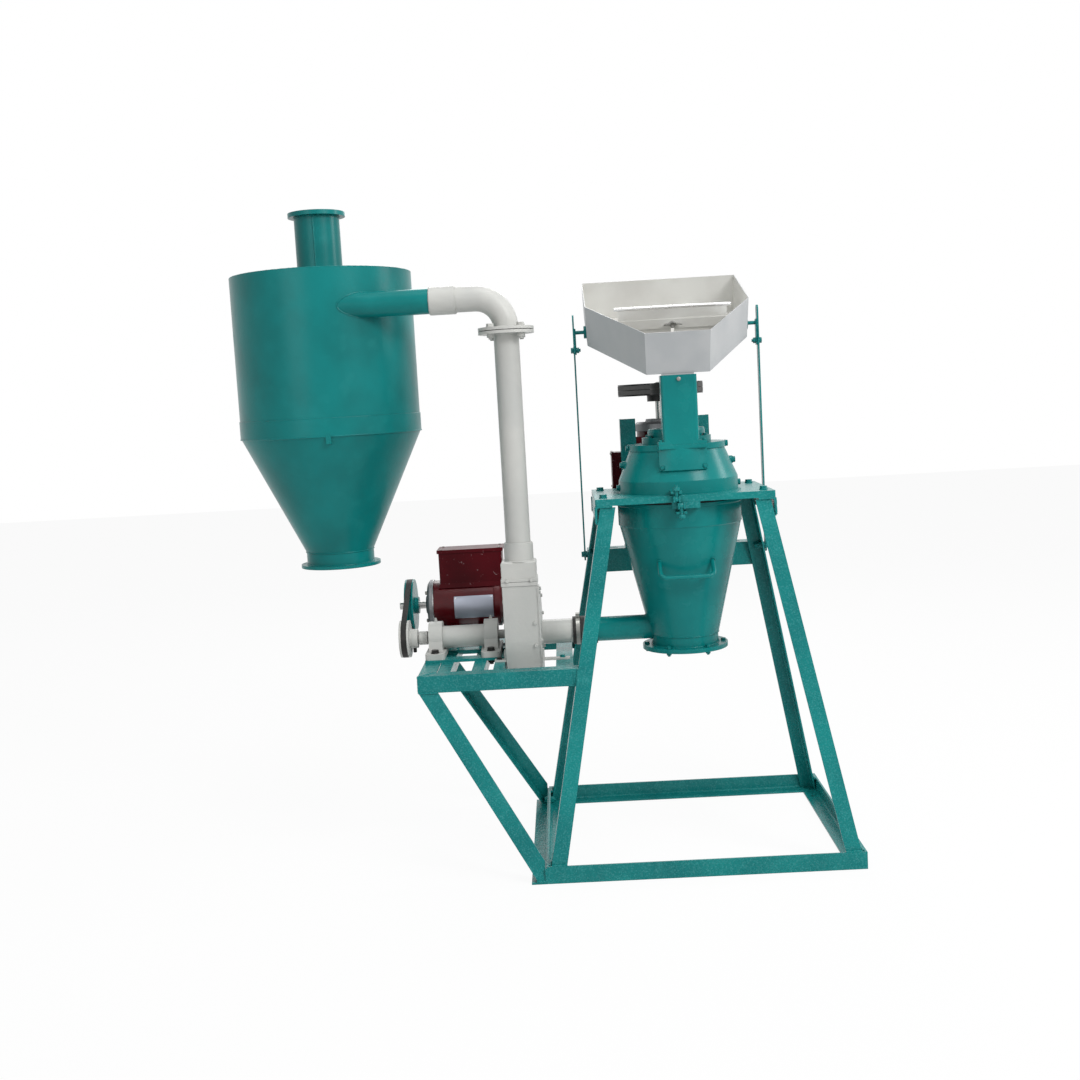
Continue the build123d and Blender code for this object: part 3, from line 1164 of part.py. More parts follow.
centre = (cyclone_x, cyclone_y, 0)
cyclone_flange = cyclone_neck_radius + 19
band_high = 52
cyclone = turned(cyclone_profile(0), centre)
cyclone += turned([(0, cyclone_flange_z), (cyclone_flange, cyclone_flange_z),
                   (cyclone_flange, cyclone_flange_z + 10), (0, cyclone_flange_z + 10)], centre)
cyclone += turned([(0, cylinder_low), (cyclone_radius + 2, cylinder_low),
                   (cyclone_radius + 2, cylinder_low + band_high), (0, cylinder_low + band_high)], centre)
inlet_start = coupling_middle - 4
cyclone += rod((inlet_start, riser_y, bend_z), (-1, 0, 0), duct_radius, inlet_start - cyclone_x - 90)
spigot_top = cyclone_top + spigot_height
spigot_ring = 13.6
cyclone += turned([(0, cyclone_top - 5), (spigot_radius, cyclone_top - 5),
                   (spigot_radius, spigot_top - spigot_ring), (spigot_radius + 18, spigot_top - spigot_ring),
                   (spigot_radius + 18, spigot_top), (0, spigot_top)], centre)
cyclone += rod((cyclone_x, cyclone_y - spigot_radius, cyclone_top - 1), Z_AXIS, 2, spigot_height - 14)
cyclone += block((cyclone_x + 30, cyclone_x + 46),
                 (cyclone_y - cyclone_radius - 2, cyclone_y - cyclone_radius + 22),
                 (cylinder_low - 23, cylinder_low + 3))
cyclone -= turned([(r, h if h > cyclone_flange_z else h - 5) for r, h in cyclone_profile(wall)], centre)
cyclone -= turned([(0, cyclone_top - 10), (spigot_radius - wall, cyclone_top - 10),
                   (spigot_radius - wall, spigot_top + 1), (0, spigot_top + 1)], centre)
vortex_low = cyclone_top - 190
cyclone += turned([(spigot_radius - wall, vortex_low), (spigot_radius, vortex_low),
                   (spigot_radius, cyclone_top + 2), (spigot_radius - wall, cyclone_top + 2)], centre)
cyclone -= rod((coupling_middle, riser_y, bend_z), (-1, 0, 0), duct_radius - duct_wall,
               coupling_middle - cyclone_x - 60)
discharge_points = ring_points(cyclone_neck_radius + 10, 6, 0, (cyclone_x, cyclone_y), cyclone_flange_z)
for cutter in holes(discharge_points, Z_AXIS, 4.5, 14):
    cyclone -= cutter

save("mill_motor", mill_motor)
save("mill_motor_box", mill_box)
save("mill_motor_rotor", mill_motor_shaft)
save("mill_motor_pulley", mill_motor_pulley)
save("hopper_tray", tray)
save("gate_bar", bar, *gate_screw)
save("hopper_gate", gate)
save("hopper_brackets", *hopper_brackets)
save("hanger_strips", *strips)
save("hanger_bolts", *hanger_pins)
save("shelf_rails", *shelf_rails)
save("shelf_bars", *cross_bars, *bearing_rails)
save("side_frame", foot_angle, *side_braces)
save("motor_slide_rails", *slide_rails)
save("plummer_blocks", *plummer_blocks)
save("ball_bearings", *bearings)
save("shaft_tube", shaft_tube)
save("blower_casing", casing, *left_feet, right_foot)
save("blower_cover", blower_cover)
save("blower_outlet", stub)
save("gaskets", cone_gasket, outlet_gasket, joint_gasket)
save("duct_bolts", *blower_bolts, *joint_bolts)
save("blower_shaft", blower_shaft)
save("blower_impeller", impeller)
save("blower_pulley", blower_pulley)
save("blower_belt", blower_belt)
save("blower_motor", fan_motor)
save("blower_motor_box", fan_box)
save("blower_motor_rotor", fan_motor_shaft)
save("blower_motor_pulley", fan_motor_pulley)
save("frame_bolts", *frame_bolts, *strip_bolts, *shelf_bolts)
save("riser_pipe", riser)
save("elbow", elbow, coupling)
save("cyclone", cyclone)
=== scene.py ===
import math
import random

import bmesh
import bpy
from mathutils import Matrix, Vector


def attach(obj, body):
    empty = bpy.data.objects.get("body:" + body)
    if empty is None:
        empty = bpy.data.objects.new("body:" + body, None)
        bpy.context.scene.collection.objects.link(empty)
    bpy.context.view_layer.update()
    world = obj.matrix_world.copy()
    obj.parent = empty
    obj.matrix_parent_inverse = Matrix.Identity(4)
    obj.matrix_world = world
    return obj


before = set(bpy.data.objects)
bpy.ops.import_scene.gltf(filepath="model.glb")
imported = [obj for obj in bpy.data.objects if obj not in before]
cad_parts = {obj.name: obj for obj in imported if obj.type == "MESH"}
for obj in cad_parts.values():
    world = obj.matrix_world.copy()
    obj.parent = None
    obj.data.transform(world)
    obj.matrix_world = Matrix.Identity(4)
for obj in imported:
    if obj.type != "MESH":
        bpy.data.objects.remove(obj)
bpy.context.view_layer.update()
print("frame loaded:", len(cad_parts), "nodes")


# Small helpers for colours and material nodes

def toLinear(hexText):
    # sRGB hex to the linear colour that a shader takes
    parts = [int(hexText[i:i + 2], 16) / 255 for i in (1, 3, 5)]
    return [p / 12.92 if p <= 0.04045 else ((p + 0.055) / 1.055) ** 2.4 for p in parts] + [1]


def addNode(tree, kind, inputs, settings=None, output=0):
    # one node with its settings; an input that is a socket is linked, any other value is set.
    # returns the named output's socket, and an output node has none
    node = tree.nodes.new(kind)
    for name, value in (settings or {}).items():
        setattr(node, name, value)
    for name, value in inputs.items():
        if isinstance(value, bpy.types.NodeSocket):
            tree.links.new(value, node.inputs[name])
        else:
            node.inputs[name].default_value = value
    return node.outputs[output] if node.outputs else None


def newMaterial(name):
    # an empty node material and the coordinates that all its patterns use
    material = bpy.data.materials.new(name)
    material.use_nodes = True
    tree = material.node_tree
    tree.nodes.clear()
    return material, tree, addNode(tree, "ShaderNodeTexCoord", {}, output="Object")


# Air-dried gloss enamel, brushed and sprayed by hand over welded steel.
# The eye gets orange peel in the highlights, slow changes of tone and a few dull, dusty patches.
# Pattern sizes are in millimetres, judged.
# one of these colours and one size are for pale specks of painted highlight on the brushed enamel
enamel = {"edgeMm": 1.8, "paintedGlintMm": 4.5, "toneMm": 190, "dustMm": 60, "grainMm": 1.6, "runMm": 22,
          "scuffMm": 14, "dustShare": 0.3, "gloss": 0.19, "paintedGlintColour": "#6FBBBD", "primer": "#B9A6A8",
          "bareSteel": "#2B2A29"}
colourMix = {"data_type": "RGBA"}


def enamelPaint(name, look):
    material, tree, coords = newMaterial(name)
    # slow changes of tone, then dull dust over them; sockets 0, 6 and 7 are a mix's factor and colours
    toneNoise = addNode(tree, "ShaderNodeTexNoise",
                        {"Vector": coords, "Scale": 1000 / enamel["toneMm"], "Detail": 3})
    tone = addNode(tree, "ShaderNodeMapRange", {"Value": toneNoise, "From Min": 0.35, "From Max": 0.65})
    dustNoise = addNode(tree, "ShaderNodeTexNoise",
                        {"Vector": coords, "Scale": 1000 / enamel["dustMm"], "Detail": 5})
    dust = addNode(tree, "ShaderNodeMapRange",
                   {"Value": dustNoise, "From Min": 0.55, "From Max": 0.8, "To Max": enamel["dustShare"]})
    base = addNode(tree, "ShaderNodeMix", {0: tone, 6: toLinear(look["deep"]), 7: toLinear(look["colour"])},
                   colourMix, 2)
    base = addNode(tree, "ShaderNodeMix", {0: dust, 6: base, 7: toLinear(look["pale"])}, colourMix, 2)
    if "paintedGlintShare" in look:
        # painted highlight: pale specks painted into the colour where orange peel would catch the light,
        # drawn coarse enough to show in the render
        paintedGlintNoise = addNode(tree, "ShaderNodeTexNoise", {"Vector": coords, "Scale": 1000 / enamel["paintedGlintMm"],
                                                         "Detail": 4})
        paintedGlintMask = addNode(tree, "ShaderNodeMapRange",
                       {"Value": paintedGlintNoise, "From Min": 0.5, "From Max": 0.74, "To Max": look["paintedGlintShare"]})
        base = addNode(tree, "ShaderNodeMix", {0: paintedGlintMask, 6: base, 7: toLinear(enamel["paintedGlintColour"])}, colourMix, 2)
    if "scuffs" in look:
        # knocks that show pale primer, a few millimetres long
        scuffNoise = addNode(tree, "ShaderNodeTexNoise",
                             {"Vector": coords, "Scale": 1000 / enamel["scuffMm"], "Detail": 6,
                              "Distortion": 1.2})
        scuff = addNode(tree, "ShaderNodeMapRange",
                        {"Value": scuffNoise, "From Min": 0.67, "From Max": 0.73, "To Max": look["scuffs"]})
        base = addNode(tree, "ShaderNodeMix", {0: scuff, 6: base, 7: toLinear(enamel["primer"])},
                       colourMix, 2)
    if "bareBelowX" in look:
        # the bolts on the blower's shelf are oily black steel
        place = addNode(tree, "ShaderNodeSeparateXYZ", {"Vector": coords}, output="X")
        bare = addNode(tree, "ShaderNodeMath", {0: place, 1: look["bareBelowX"]},
                       {"operation": "LESS_THAN"})
        base = addNode(tree, "ShaderNodeMix", {0: bare, 6: base, 7: toLinear(enamel["bareSteel"])},
                       colourMix, 2)
    rough = addNode(tree, "ShaderNodeMapRange",
                    {"Value": dust, "To Min": look["rough"], "To Max": look["rough"] + 0.4})
    # thick paint rounds the edges, and its lumps over weld spatter lie under the finer orange peel
    rounded = addNode(tree, "ShaderNodeBevel", {"Radius": enamel["edgeMm"] / 1000}, {"samples": 4})
    lumpNoise = addNode(tree, "ShaderNodeTexNoise",
                        {"Vector": coords, "Scale": 1000 / enamel["runMm"], "Detail": 3})
    lumps = addNode(tree, "ShaderNodeBump",
                    {"Strength": look["lumps"], "Distance": 0.0016, "Height": lumpNoise, "Normal": rounded})
    peelNoise = addNode(tree, "ShaderNodeTexNoise",
                        {"Vector": coords, "Scale": 1000 / look["peelMm"], "Detail": 2})
    peel = addNode(tree, "ShaderNodeBump",
                   {"Strength": look["peel"], "Distance": 0.0006, "Height": peelNoise, "Normal": lumps})
    grainNoise = addNode(tree, "ShaderNodeTexNoise",
                         {"Vector": coords, "Scale": 1000 / enamel["grainMm"], "Detail": 1})
    grain = addNode(tree, "ShaderNodeBump",
                    {"Strength": 0.1, "Distance": 0.0002, "Height": grainNoise, "Normal": peel})
    shader = addNode(tree, "ShaderNodeBsdfPrincipled",
                     {"Base Color": base, "Roughness": rough, "IOR": 1.48,
                      "Specular IOR Level": look.get("gloss", enamel["gloss"]), "Normal": grain})
    addNode(tree, "ShaderNodeOutputMaterial", {"Surface": shader})
    return material


# Motor paint: glossy maroon on rolled steel, with a bare die-cast end shield past the edge given in metres
motorLook = {"paint": "#560912", "deepPaint": "#42040C", "cast": "#8C8E90", "deepCast": "#6E7072",
             "toneMm": 90, "castMm": 6, "peelMm": 4}


def motorPaint(name, axis, edge, side):
    material, tree, coords = newMaterial(name)
    along = addNode(tree, "ShaderNodeSeparateXYZ", {"Vector": coords}, output=axis)
    shield = addNode(tree, "ShaderNodeMath", {0: along, 1: edge}, {"operation": side})
    toneNoise = addNode(tree, "ShaderNodeTexNoise",
                        {"Vector": coords, "Scale": 1000 / motorLook["toneMm"], "Detail": 3})
    tone = addNode(tree, "ShaderNodeMapRange", {"Value": toneNoise, "From Min": 0.35, "From Max": 0.65})
    paint = addNode(tree, "ShaderNodeMix", {0: tone, 6: toLinear(motorLook["deepPaint"]),
                                            7: toLinear(motorLook["paint"])}, colourMix, 2)
    castNoise = addNode(tree, "ShaderNodeTexNoise",
                        {"Vector": coords, "Scale": 1000 / motorLook["castMm"], "Detail": 3})
    cast = addNode(tree, "ShaderNodeMix", {0: castNoise, 6: toLinear(motorLook["deepCast"]),
                                           7: toLinear(motorLook["cast"])}, colourMix, 2)
    base = addNode(tree, "ShaderNodeMix", {0: shield, 6: paint, 7: cast}, colourMix, 2)
    rough = addNode(tree, "ShaderNodeMapRange", {"Value": shield, "To Min": 0.24, "To Max": 0.5})
    metal = addNode(tree, "ShaderNodeMapRange", {"Value": shield, "To Max": 0.6})
    peelNoise = addNode(tree, "ShaderNodeTexNoise",
                        {"Vector": coords, "Scale": 1000 / motorLook["peelMm"], "Detail": 2})
    peel = addNode(tree, "ShaderNodeBump", {"Strength": 0.2, "Distance": 0.0004, "Height": peelNoise})
    shader = addNode(tree, "ShaderNodeBsdfPrincipled",
                     {"Base Color": base, "Roughness": rough, "Metallic": metal, "IOR": 1.5,
                      "Specular IOR Level": 0.3, "Normal": peel})
    addNode(tree, "ShaderNodeOutputMaterial", {"Surface": shader})
    return material


# Cold-rolled stainless sheet with a dull mill finish: soft grey-white with faint rolling lines and smears
# the inside colours are lighter copies of the sheet colour: painted light for the faces that look into the
# tray
sheetLook = {"colour": "#B4B6B7", "smear": "#A8ABAD", "inside": "#D4D4D0", "paintedLitSmear": "#C9C8C4",
             "middle": (0, 0.2, 1.6), "rough": 0.44, "lineMm": 0.8, "cloudMm": 130, "dentMm": 90}


def sheetMetal(name, look):
    material, tree, coords = newMaterial(name)
    cloudNoise = addNode(tree, "ShaderNodeTexNoise",
                         {"Vector": coords, "Scale": 1000 / look["cloudMm"], "Detail": 4})
    cloud = addNode(tree, "ShaderNodeMapRange", {"Value": cloudNoise, "From Min": 0.35, "From Max": 0.65})
    outside = addNode(tree, "ShaderNodeMix",
                      {0: cloud, 6: toLinear(look["smear"]), 7: toLinear(look["colour"])}, colourMix, 2)
    inside = addNode(tree, "ShaderNodeMix",
                     {0: cloud, 6: toLinear(look["paintedLitSmear"]), 7: toLinear(look["inside"])}, colourMix, 2)
    # faces that look towards the tray's middle get a lighter copy of the sheet colour, painted bounce light
    # from the tray's lit floor; the others keep the plain sheet colour
    fromMiddle = addNode(tree, "ShaderNodeVectorMath", {0: coords, 1: look["middle"]},
                         {"operation": "SUBTRACT"})
    normal = addNode(tree, "ShaderNodeTexCoord", {}, output="Normal")
    outwards = addNode(tree, "ShaderNodeVectorMath", {0: fromMiddle, 1: normal},
                       {"operation": "DOT_PRODUCT"}, "Value")
    paintedLitFaces = addNode(tree, "ShaderNodeMath", {0: outwards, 1: 0}, {"operation": "LESS_THAN"})
    base = addNode(tree, "ShaderNodeMix", {0: paintedLitFaces, 6: outside, 7: inside}, colourMix, 2)
    rough = addNode(tree, "ShaderNodeMapRange",
                    {"Value": cloud, "To Min": look["rough"] - 0.05, "To Max": look["rough"] + 0.06})
    dentNoise = addNode(tree, "ShaderNodeTexNoise",
                        {"Vector": coords, "Scale": 1000 / look["dentMm"], "Detail": 2})
    dents = addNode(tree, "ShaderNodeBump", {"Strength": 0.25, "Distance": 0.0015, "Height": dentNoise})
    # rolling lines run along the sheet, so the pattern is stretched in Y and Z
    stretched = addNode(tree, "ShaderNodeMapping", {"Vector": coords, "Scale": (1, 0.03, 0.03)})
    lineNoise = addNode(tree, "ShaderNodeTexNoise",
                        {"Vector": stretched, "Scale": 1000 / look["lineMm"], "Detail": 3})
    lines = addNode(tree, "ShaderNodeBump",
                    {"Strength": 0.12, "Distance": 0.0002, "Height": lineNoise, "Normal": dents})
    shader = addNode(tree, "ShaderNodeBsdfPrincipled",
                     {"Base Color": base, "Metallic": 0.35, "Roughness": rough, "Specular IOR Level": 0.4,
                      "Normal": lines})
    addNode(tree, "ShaderNodeOutputMaterial", {"Surface": shader})
    return material


# Plain metal: turned shafts, zinc bolts, cast pulleys and the bare plate differ in colour, polish and grain
metalCloudMm = 25


def plainMetal(name, look):
    material, tree, coords = newMaterial(name)
    grainNoise = addNode(tree, "ShaderNodeTexNoise",
                         {"Vector": coords, "Scale": 1000 / look["grainMm"], "Detail": 3})
    cloudNoise = addNode(tree, "ShaderNodeTexNoise",
                         {"Vector": coords, "Scale": 1000 / metalCloudMm, "Detail": 3})
    rough = addNode(tree, "ShaderNodeMapRange",
                    {"Value": cloudNoise, "From Min": 0.3, "From Max": 0.7,
                     "To Min": look["rough"] - 0.08, "To Max": look["rough"] + 0.08})
    grain = addNode(tree, "ShaderNodeBump",
                    {"Strength": look["grain"], "Distance": 0.0003, "Height": grainNoise})
    shader = addNode(tree, "ShaderNodeBsdfPrincipled",
                     {"Base Color": toLinear(look["colour"]), "Metallic": look["metal"], "Roughness": rough,
                      "Normal": grain})
    addNode(tree, "ShaderNodeOutputMaterial", {"Surface": shader})
    return material


# Moulded rubber: belts with a dusty cloth cover, and the hose sleeve
rubberLook = {"colour": "#0E0E0E", "dust": "#2C2926", "patchMm": 30, "grainMm": 1.2}


def rubber(name, look):
    material, tree, coords = newMaterial(name)
    patchNoise = addNode(tree, "ShaderNodeTexNoise",
                         {"Vector": coords, "Scale": 1000 / look["patchMm"], "Detail": 4})
    patch = addNode(tree, "ShaderNodeMapRange",
                    {"Value": patchNoise, "From Min": 0.4, "From Max": 0.7, "To Max": 0.6})
    base = addNode(tree, "ShaderNodeMix",
                   {0: patch, 6: toLinear(look["colour"]), 7: toLinear(look["dust"])}, colourMix, 2)
    grainNoise = addNode(tree, "ShaderNodeTexNoise",
                         {"Vector": coords, "Scale": 1000 / look["grainMm"], "Detail": 2})
    grain = addNode(tree, "ShaderNodeBump", {"Strength": 0.3, "Distance": 0.0003, "Height": grainNoise})
    shader = addNode(tree, "ShaderNodeBsdfPrincipled",
                     {"Base Color": base, "Roughness": 0.62, "IOR": 1.52, "Specular IOR Level": 0.35,
                      "Normal": grain})
    addNode(tree, "ShaderNodeOutputMaterial", {"Surface": shader})
    return material


enamels = {
    # sprayed gloss on the mill and chute: smooth, with orange peel in its highlights
    "tealGlossEnamel": {"colour": "#067A78", "deep": "#056C6C", "pale": "#2A8B88", "rough": 0.26,
                        "peelMm": 7, "peel": 0.35, "lumps": 0.1},
    # brushed thickly on the stand's angle iron: lumpy, with pale specks of painted highlight in its colour
    "tealBrushedEnamel": {"colour": "#0F7C7A", "deep": "#0B6C6C", "pale": "#3A9491", "rough": 0.24,
                          "peelMm": 5, "peel": 0.9, "lumps": 0.6, "paintedGlintShare": 0.24},
    # the same paint over bolt heads: smoother, and on the blower's shelf they are bare, black and oily
    "tealFastenerEnamel": {"colour": "#0F7C7A", "deep": "#0B6C6C", "pale": "#3A9491", "rough": 0.28,
                           "peelMm": 4, "peel": 0.5, "lumps": 0.2, "bareBelowX": -0.52},
    # sprayed on the cyclone's rolled sheet: a little duller and darker, with wide soft waves
    "tealSprayedEnamel": {"colour": "#067574", "deep": "#056665", "pale": "#1F8482", "rough": 0.29,
                          "peelMm": 9, "peel": 0.3, "lumps": 0.15},
    # grey cream on the blower and ducts: half matt, over rough cast and welded pieces
    "greyCreamEnamel": {"colour": "#BDBDB9", "deep": "#B2B3B0", "pale": "#C4C3BE", "rough": 0.36,
                        "peelMm": 8, "peel": 0.4, "lumps": 0.3},
    # dark maroon on the switch boxes' pressed sheet: deep gloss with knocks down to pale primer
    "maroonGlossEnamel": {"colour": "#4E0510", "deep": "#3A030A", "pale": "#55121B", "rough": 0.3,
                          "peelMm": 9, "peel": 0.25, "lumps": 0.2, "scuffs": 0.6, "gloss": 0.1},
}
metals = {
    # rolled lips, rivets and rings polished by wear: bright, almost white
    "polishedStainless": {"colour": "#D9D9D8", "rough": 0.25, "grainMm": 2.0, "grain": 0.05, "metal": 1},
    # turned and oiled: grey with a clear highlight
    "turnedSteel": {"colour": "#A2A2A0", "rough": 0.28, "grainMm": 1.5, "grain": 0.08, "metal": 1},
    # zinc plated and handled: dull grey
    "zincPlatedBolts": {"colour": "#8C8C88", "rough": 0.4, "grainMm": 1.5, "grain": 0.15, "metal": 1},
    # anodised sheet of the bare plate: cool satin grey
    "anodisedPlate": {"colour": "#A4A9B6", "rough": 0.42, "grainMm": 0.9, "grain": 0.05, "metal": 0.5},
    # sand-cast and painted black: coarse skin, faint gloss
    "blackCastIron": {"colour": "#17181A", "rough": 0.45, "grainMm": 2.5, "grain": 0.5, "metal": 0.2},
    # black oxide with oil on it: dark, with a greasy gleam
    "oilyBlackSteel": {"colour": "#2B2A29", "rough": 0.45, "grainMm": 2.0, "grain": 0.3, "metal": 0.6},
}
# where each motor's bare end shield begins along its axis, in metres
shieldEdge = {"blower": -0.788, "mill": 1.256}
finishes = {name: enamelPaint(name, look) for name, look in enamels.items()}
finishes.update({name: plainMetal(name, look) for name, look in metals.items()})
finishes["millFinishStainless"] = sheetMetal("millFinishStainless", sheetLook)
# the gate and its bar get painted light on their front sides: their middle lies far in front and above, so
# faces towards the front and top take the lighter colour
finishes["paintedLitStainless"] = sheetMetal("paintedLitStainless", {**sheetLook, "middle": (0, -5, 6)})
finishes["mouldedRubber"] = rubber("mouldedRubber", rubberLook)
finishes["maroonMotorPaint"] = motorPaint("maroonMotorPaint", "X", shieldEdge["blower"], "LESS_THAN")
finishes["maroonUprightMotorPaint"] = motorPaint("maroonUprightMotorPaint", "Z", shieldEdge["mill"],
                                                 "GREATER_THAN")

nodeFinish = {
    "zincPlatedBolts": ["sleeve_clamps"],
    "turnedSteel": ["mill_shaft", "rotor_disc", "rotor_beaters", "ball_bearings", "mill_screen",
                    "mill_motor_rotor", "blower_impeller", "blower_motor_rotor"],
    "blackCastIron": ["mill_pulley", "mill_motor_pulley", "mill_liner"],
    "mouldedRubber": ["mill_belts", "blower_belt", "pipe_sleeve", "gaskets"],
    "greyCreamEnamel": ["plummer_blocks", "shaft_tube", "blower_casing", "blower_cover", "blower_outlet",
                        "blower_pulley", "blower_shaft", "duct_bolts", "riser_pipe", "elbow"],
    "millFinishStainless": ["hopper_tray"],
    "paintedLitStainless": ["gate_bar", "hopper_gate"],
    "tealBrushedEnamel": ["base_rails", "legs", "head_rails", "top_plate", "motor_frame", "side_frame",
                          "shelf_rails", "shelf_bars", "hanger_bolts", "hanger_strips", "clamp_lugs",
                          "dome_clamp_screw", "cone_clamp_screw"],
    "tealFastenerEnamel": ["frame_bolts"],
    "tealSprayedEnamel": ["cyclone"],
    "maroonMotorPaint": ["blower_motor"],
    "maroonUprightMotorPaint": ["mill_motor"],
    "maroonGlossEnamel": ["blower_motor_box", "mill_motor_box"],
}
finishOf = {node: finish for finish, nodes in nodeFinish.items() for node in nodes}
for name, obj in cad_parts.items():
    obj.data.materials.clear()
    obj.data.materials.append(finishes[finishOf.get(name, "tealGlossEnamel")])
print("finishes on CAD nodes done")


# Small helpers for modelling

def keepSelected(*objects):
    bpy.ops.object.select_all(action="DESELECT")
    for obj in objects:
        obj.select_set(True)
    bpy.context.view_layer.objects.active = objects[0]


def joinAll(objects):
    keepSelected(*objects)
    if len(objects) > 1:
        bpy.ops.object.join()
    return bpy.context.object


def settle(obj, name, body, finish):
    # put the place into the mesh, close it, name the piece and hang it on its body
    keepSelected(obj)
    bpy.ops.object.transform_apply(location=True, rotation=True, scale=True)
    bpy.ops.object.mode_set(mode="EDIT")
    bpy.ops.mesh.select_all(action="SELECT")
    bpy.ops.mesh.remove_doubles(threshold=0.00001)
    bpy.ops.mesh.normals_make_consistent(inside=False)
    bpy.ops.object.mode_set(mode="OBJECT")
    obj.name = name
    obj.data.name = name
    obj.data.materials.clear()
    obj.data.materials.append(finishes[finish])
    bpy.ops.object.shade_smooth_by_angle(angle=math.radians(35))
    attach(obj, body)
    return obj


def facing(direction):
    # turns +Z onto a direction
    return Vector(direction).to_track_quat("Z", "Y").to_matrix().to_4x4()


def placed(model, places):
    # copies of a model, each with its own mesh, on (point, direction) places; the model itself goes
    copies = []
    for point, direction in places:
        copy = model.copy()
        copy.data = model.data.copy()
        bpy.context.scene.collection.objects.link(copy)
        copy.matrix_world = Matrix.Translation(point) @ facing(direction)
        copies.append(copy)
    bpy.data.objects.remove(model)
    return joinAll(copies)


def pickFaces(obj, test):
    # select the faces whose centre and normal pass the test, in edit mode
    bpy.ops.mesh.select_mode(type="FACE")
    mesh = bmesh.from_edit_mesh(obj.data)
    for face in mesh.faces:
        face.select_set(test(face.calc_center_median(), face.normal))
    bmesh.update_edit_mesh(obj.data)


def softEdges(obj, width):
    modifier = obj.modifiers.new("softEdges", "BEVEL")
    modifier.width = width
    modifier.segments = 2
    modifier.limit_method = "ANGLE"
    modifier.angle_limit = math.radians(40)
    keepSelected(obj)
    bpy.ops.object.modifier_apply(modifier=modifier.name)


def steppedTurning(sides, radius, height, steps, bevel=0.0004, ends=(1,)):
    # a turned piece that stands on the origin: each step insets an end face and then raises or sinks it
    bpy.ops.object.select_all(action="DESELECT")
    bpy.ops.mesh.primitive_cylinder_add(vertices=sides, radius=radius, depth=height,
                                        location=(0, 0, height / 2))
    obj = bpy.context.object
    bpy.ops.object.transform_apply(location=True, rotation=True, scale=True)
    for end in ends:
        level = height if end > 0 else 0
        for inset, rise in steps:
            bpy.ops.object.mode_set(mode="EDIT")
            pickFaces(obj, lambda place, normal: normal.z * end > 0.9 and abs(place.z - level) < 1e-5)
            bpy.ops.mesh.inset(thickness=inset)
            if rise:
                bpy.ops.mesh.extrude_region_move(TRANSFORM_OT_translate={"value": (0, 0, rise * end)})
                level += rise * end
            bpy.ops.object.mode_set(mode="OBJECT")
    softEdges(obj, bevel)
    return obj


# Hand-laid weld beads under the paint: lumpy round runs that fill the corners of the joints
weld = {"stepM": 0.0045, "wobble": 0.12, "ripple": 0.24, "roundness": 2}
weldDraws = random.Random(7)


def weldRun(points, radius, closed=False):
    # one lumpy bead through the points
    places = [Vector(p) for p in points]
    if closed:
        places.append(places[0])
    run = []
    for first, second in zip(places, places[1:]):
        count = max(1, int((second - first).length / weld["stepM"]))
        run += [first.lerp(second, i / count) for i in range(count)]
    if not closed:
        run.append(places[-1])
    bpy.ops.object.select_all(action="DESELECT")
    bpy.ops.curve.primitive_nurbs_path_add()
    obj = bpy.context.object
    curve = obj.data
    curve.splines.clear()
    spline = curve.splines.new("POLY")
    spline.points.add(len(run) - 1)
    for i, place in enumerate(run):
        jitter = Vector([weldDraws.uniform(-1, 1) for axis in range(3)]) * radius * weld["wobble"]
        spline.points[i].co = (*(place + jitter), 1)
        spline.points[i].radius = 1 - weld["ripple"] * weldDraws.random() * (1 if i % 2 else 0.4)
    spline.use_cyclic_u = closed
    curve.dimensions = "3D"
    curve.bevel_depth = radius
    curve.bevel_resolution = weld["roundness"]
    curve.use_fill_caps = not closed
    keepSelected(obj)
    bpy.ops.object.convert(target="MESH")
    return bpy.context.object


def weldSet(name, runs, body="machine", finish="tealGlossEnamel"):
    return settle(joinAll([weldRun(*run) for run in runs]), name, body, finish)


def levelRing(centre, radius, height, count=72):
    turns = [2 * math.pi * i / count for i in range(count)]
    return [(centre[0] + radius * math.cos(t), centre[1] + radius * math.sin(t), height) for t in turns]


# Cyclone seams, from its flange up to the spigot, and the one down its back
seams = {"centre": (-1.072, 0.123), "flangeZ": 0.900, "neckZ": 0.939, "neckRadius": 0.106, "coneZ": 1.305,
         "bandZ": 1.3585, "radius": 0.280, "topZ": 1.798, "spigotRadius": 0.070, "spigotRingZ": 1.9755,
         "bead": 0.0026, "inletY": -0.105, "inletZ": 1.684, "inletRadius": 0.0375, "backX": 0.16}


def cycloneWelds():
    s = seams
    rings = [(s["neckRadius"] + 0.0005, s["flangeZ"], 1), (s["neckRadius"], s["neckZ"], 1),
             (s["radius"] + 0.001, s["coneZ"], 1), (s["radius"] + 0.0005, s["bandZ"], 0.8),
             (s["radius"] - 0.0015, s["topZ"] - 0.0005, 0.75), (s["spigotRadius"] + 0.0005, s["topZ"], 1),
             (s["spigotRadius"] + 0.0005, s["spigotRingZ"], 0.7)]
    runs = [(levelRing(s["centre"], radius, height, 120), s["bead"] * share, True)
            for radius, height, share in rings]
    # the saddle line where the inlet pipe meets the shell
    saddle = []
    for i in range(48):
        t = 2 * math.pi * i / 48
        y = s["inletY"] + s["inletRadius"] * math.cos(t)
        reach = math.sqrt(s["radius"] ** 2 - (y - s["centre"][1]) ** 2)
        saddle.append((s["centre"][0] + reach - 0.001, y, s["inletZ"] + s["inletRadius"] * math.sin(t)))
    runs.append((saddle, s["bead"], True))
    backY = s["centre"][1] + math.sqrt((s["radius"] - 0.001) ** 2 - s["backX"] ** 2)
    backX = s["centre"][0] - s["backX"]
    runs.append(([(backX, backY, s["bandZ"]), (backX, backY, s["topZ"] - 0.003)], s["bead"] * 0.8))
    weldSet("cycloneWelds", runs, finish="tealSprayedEnamel")


cycloneWelds()
print("cyclone seams done")


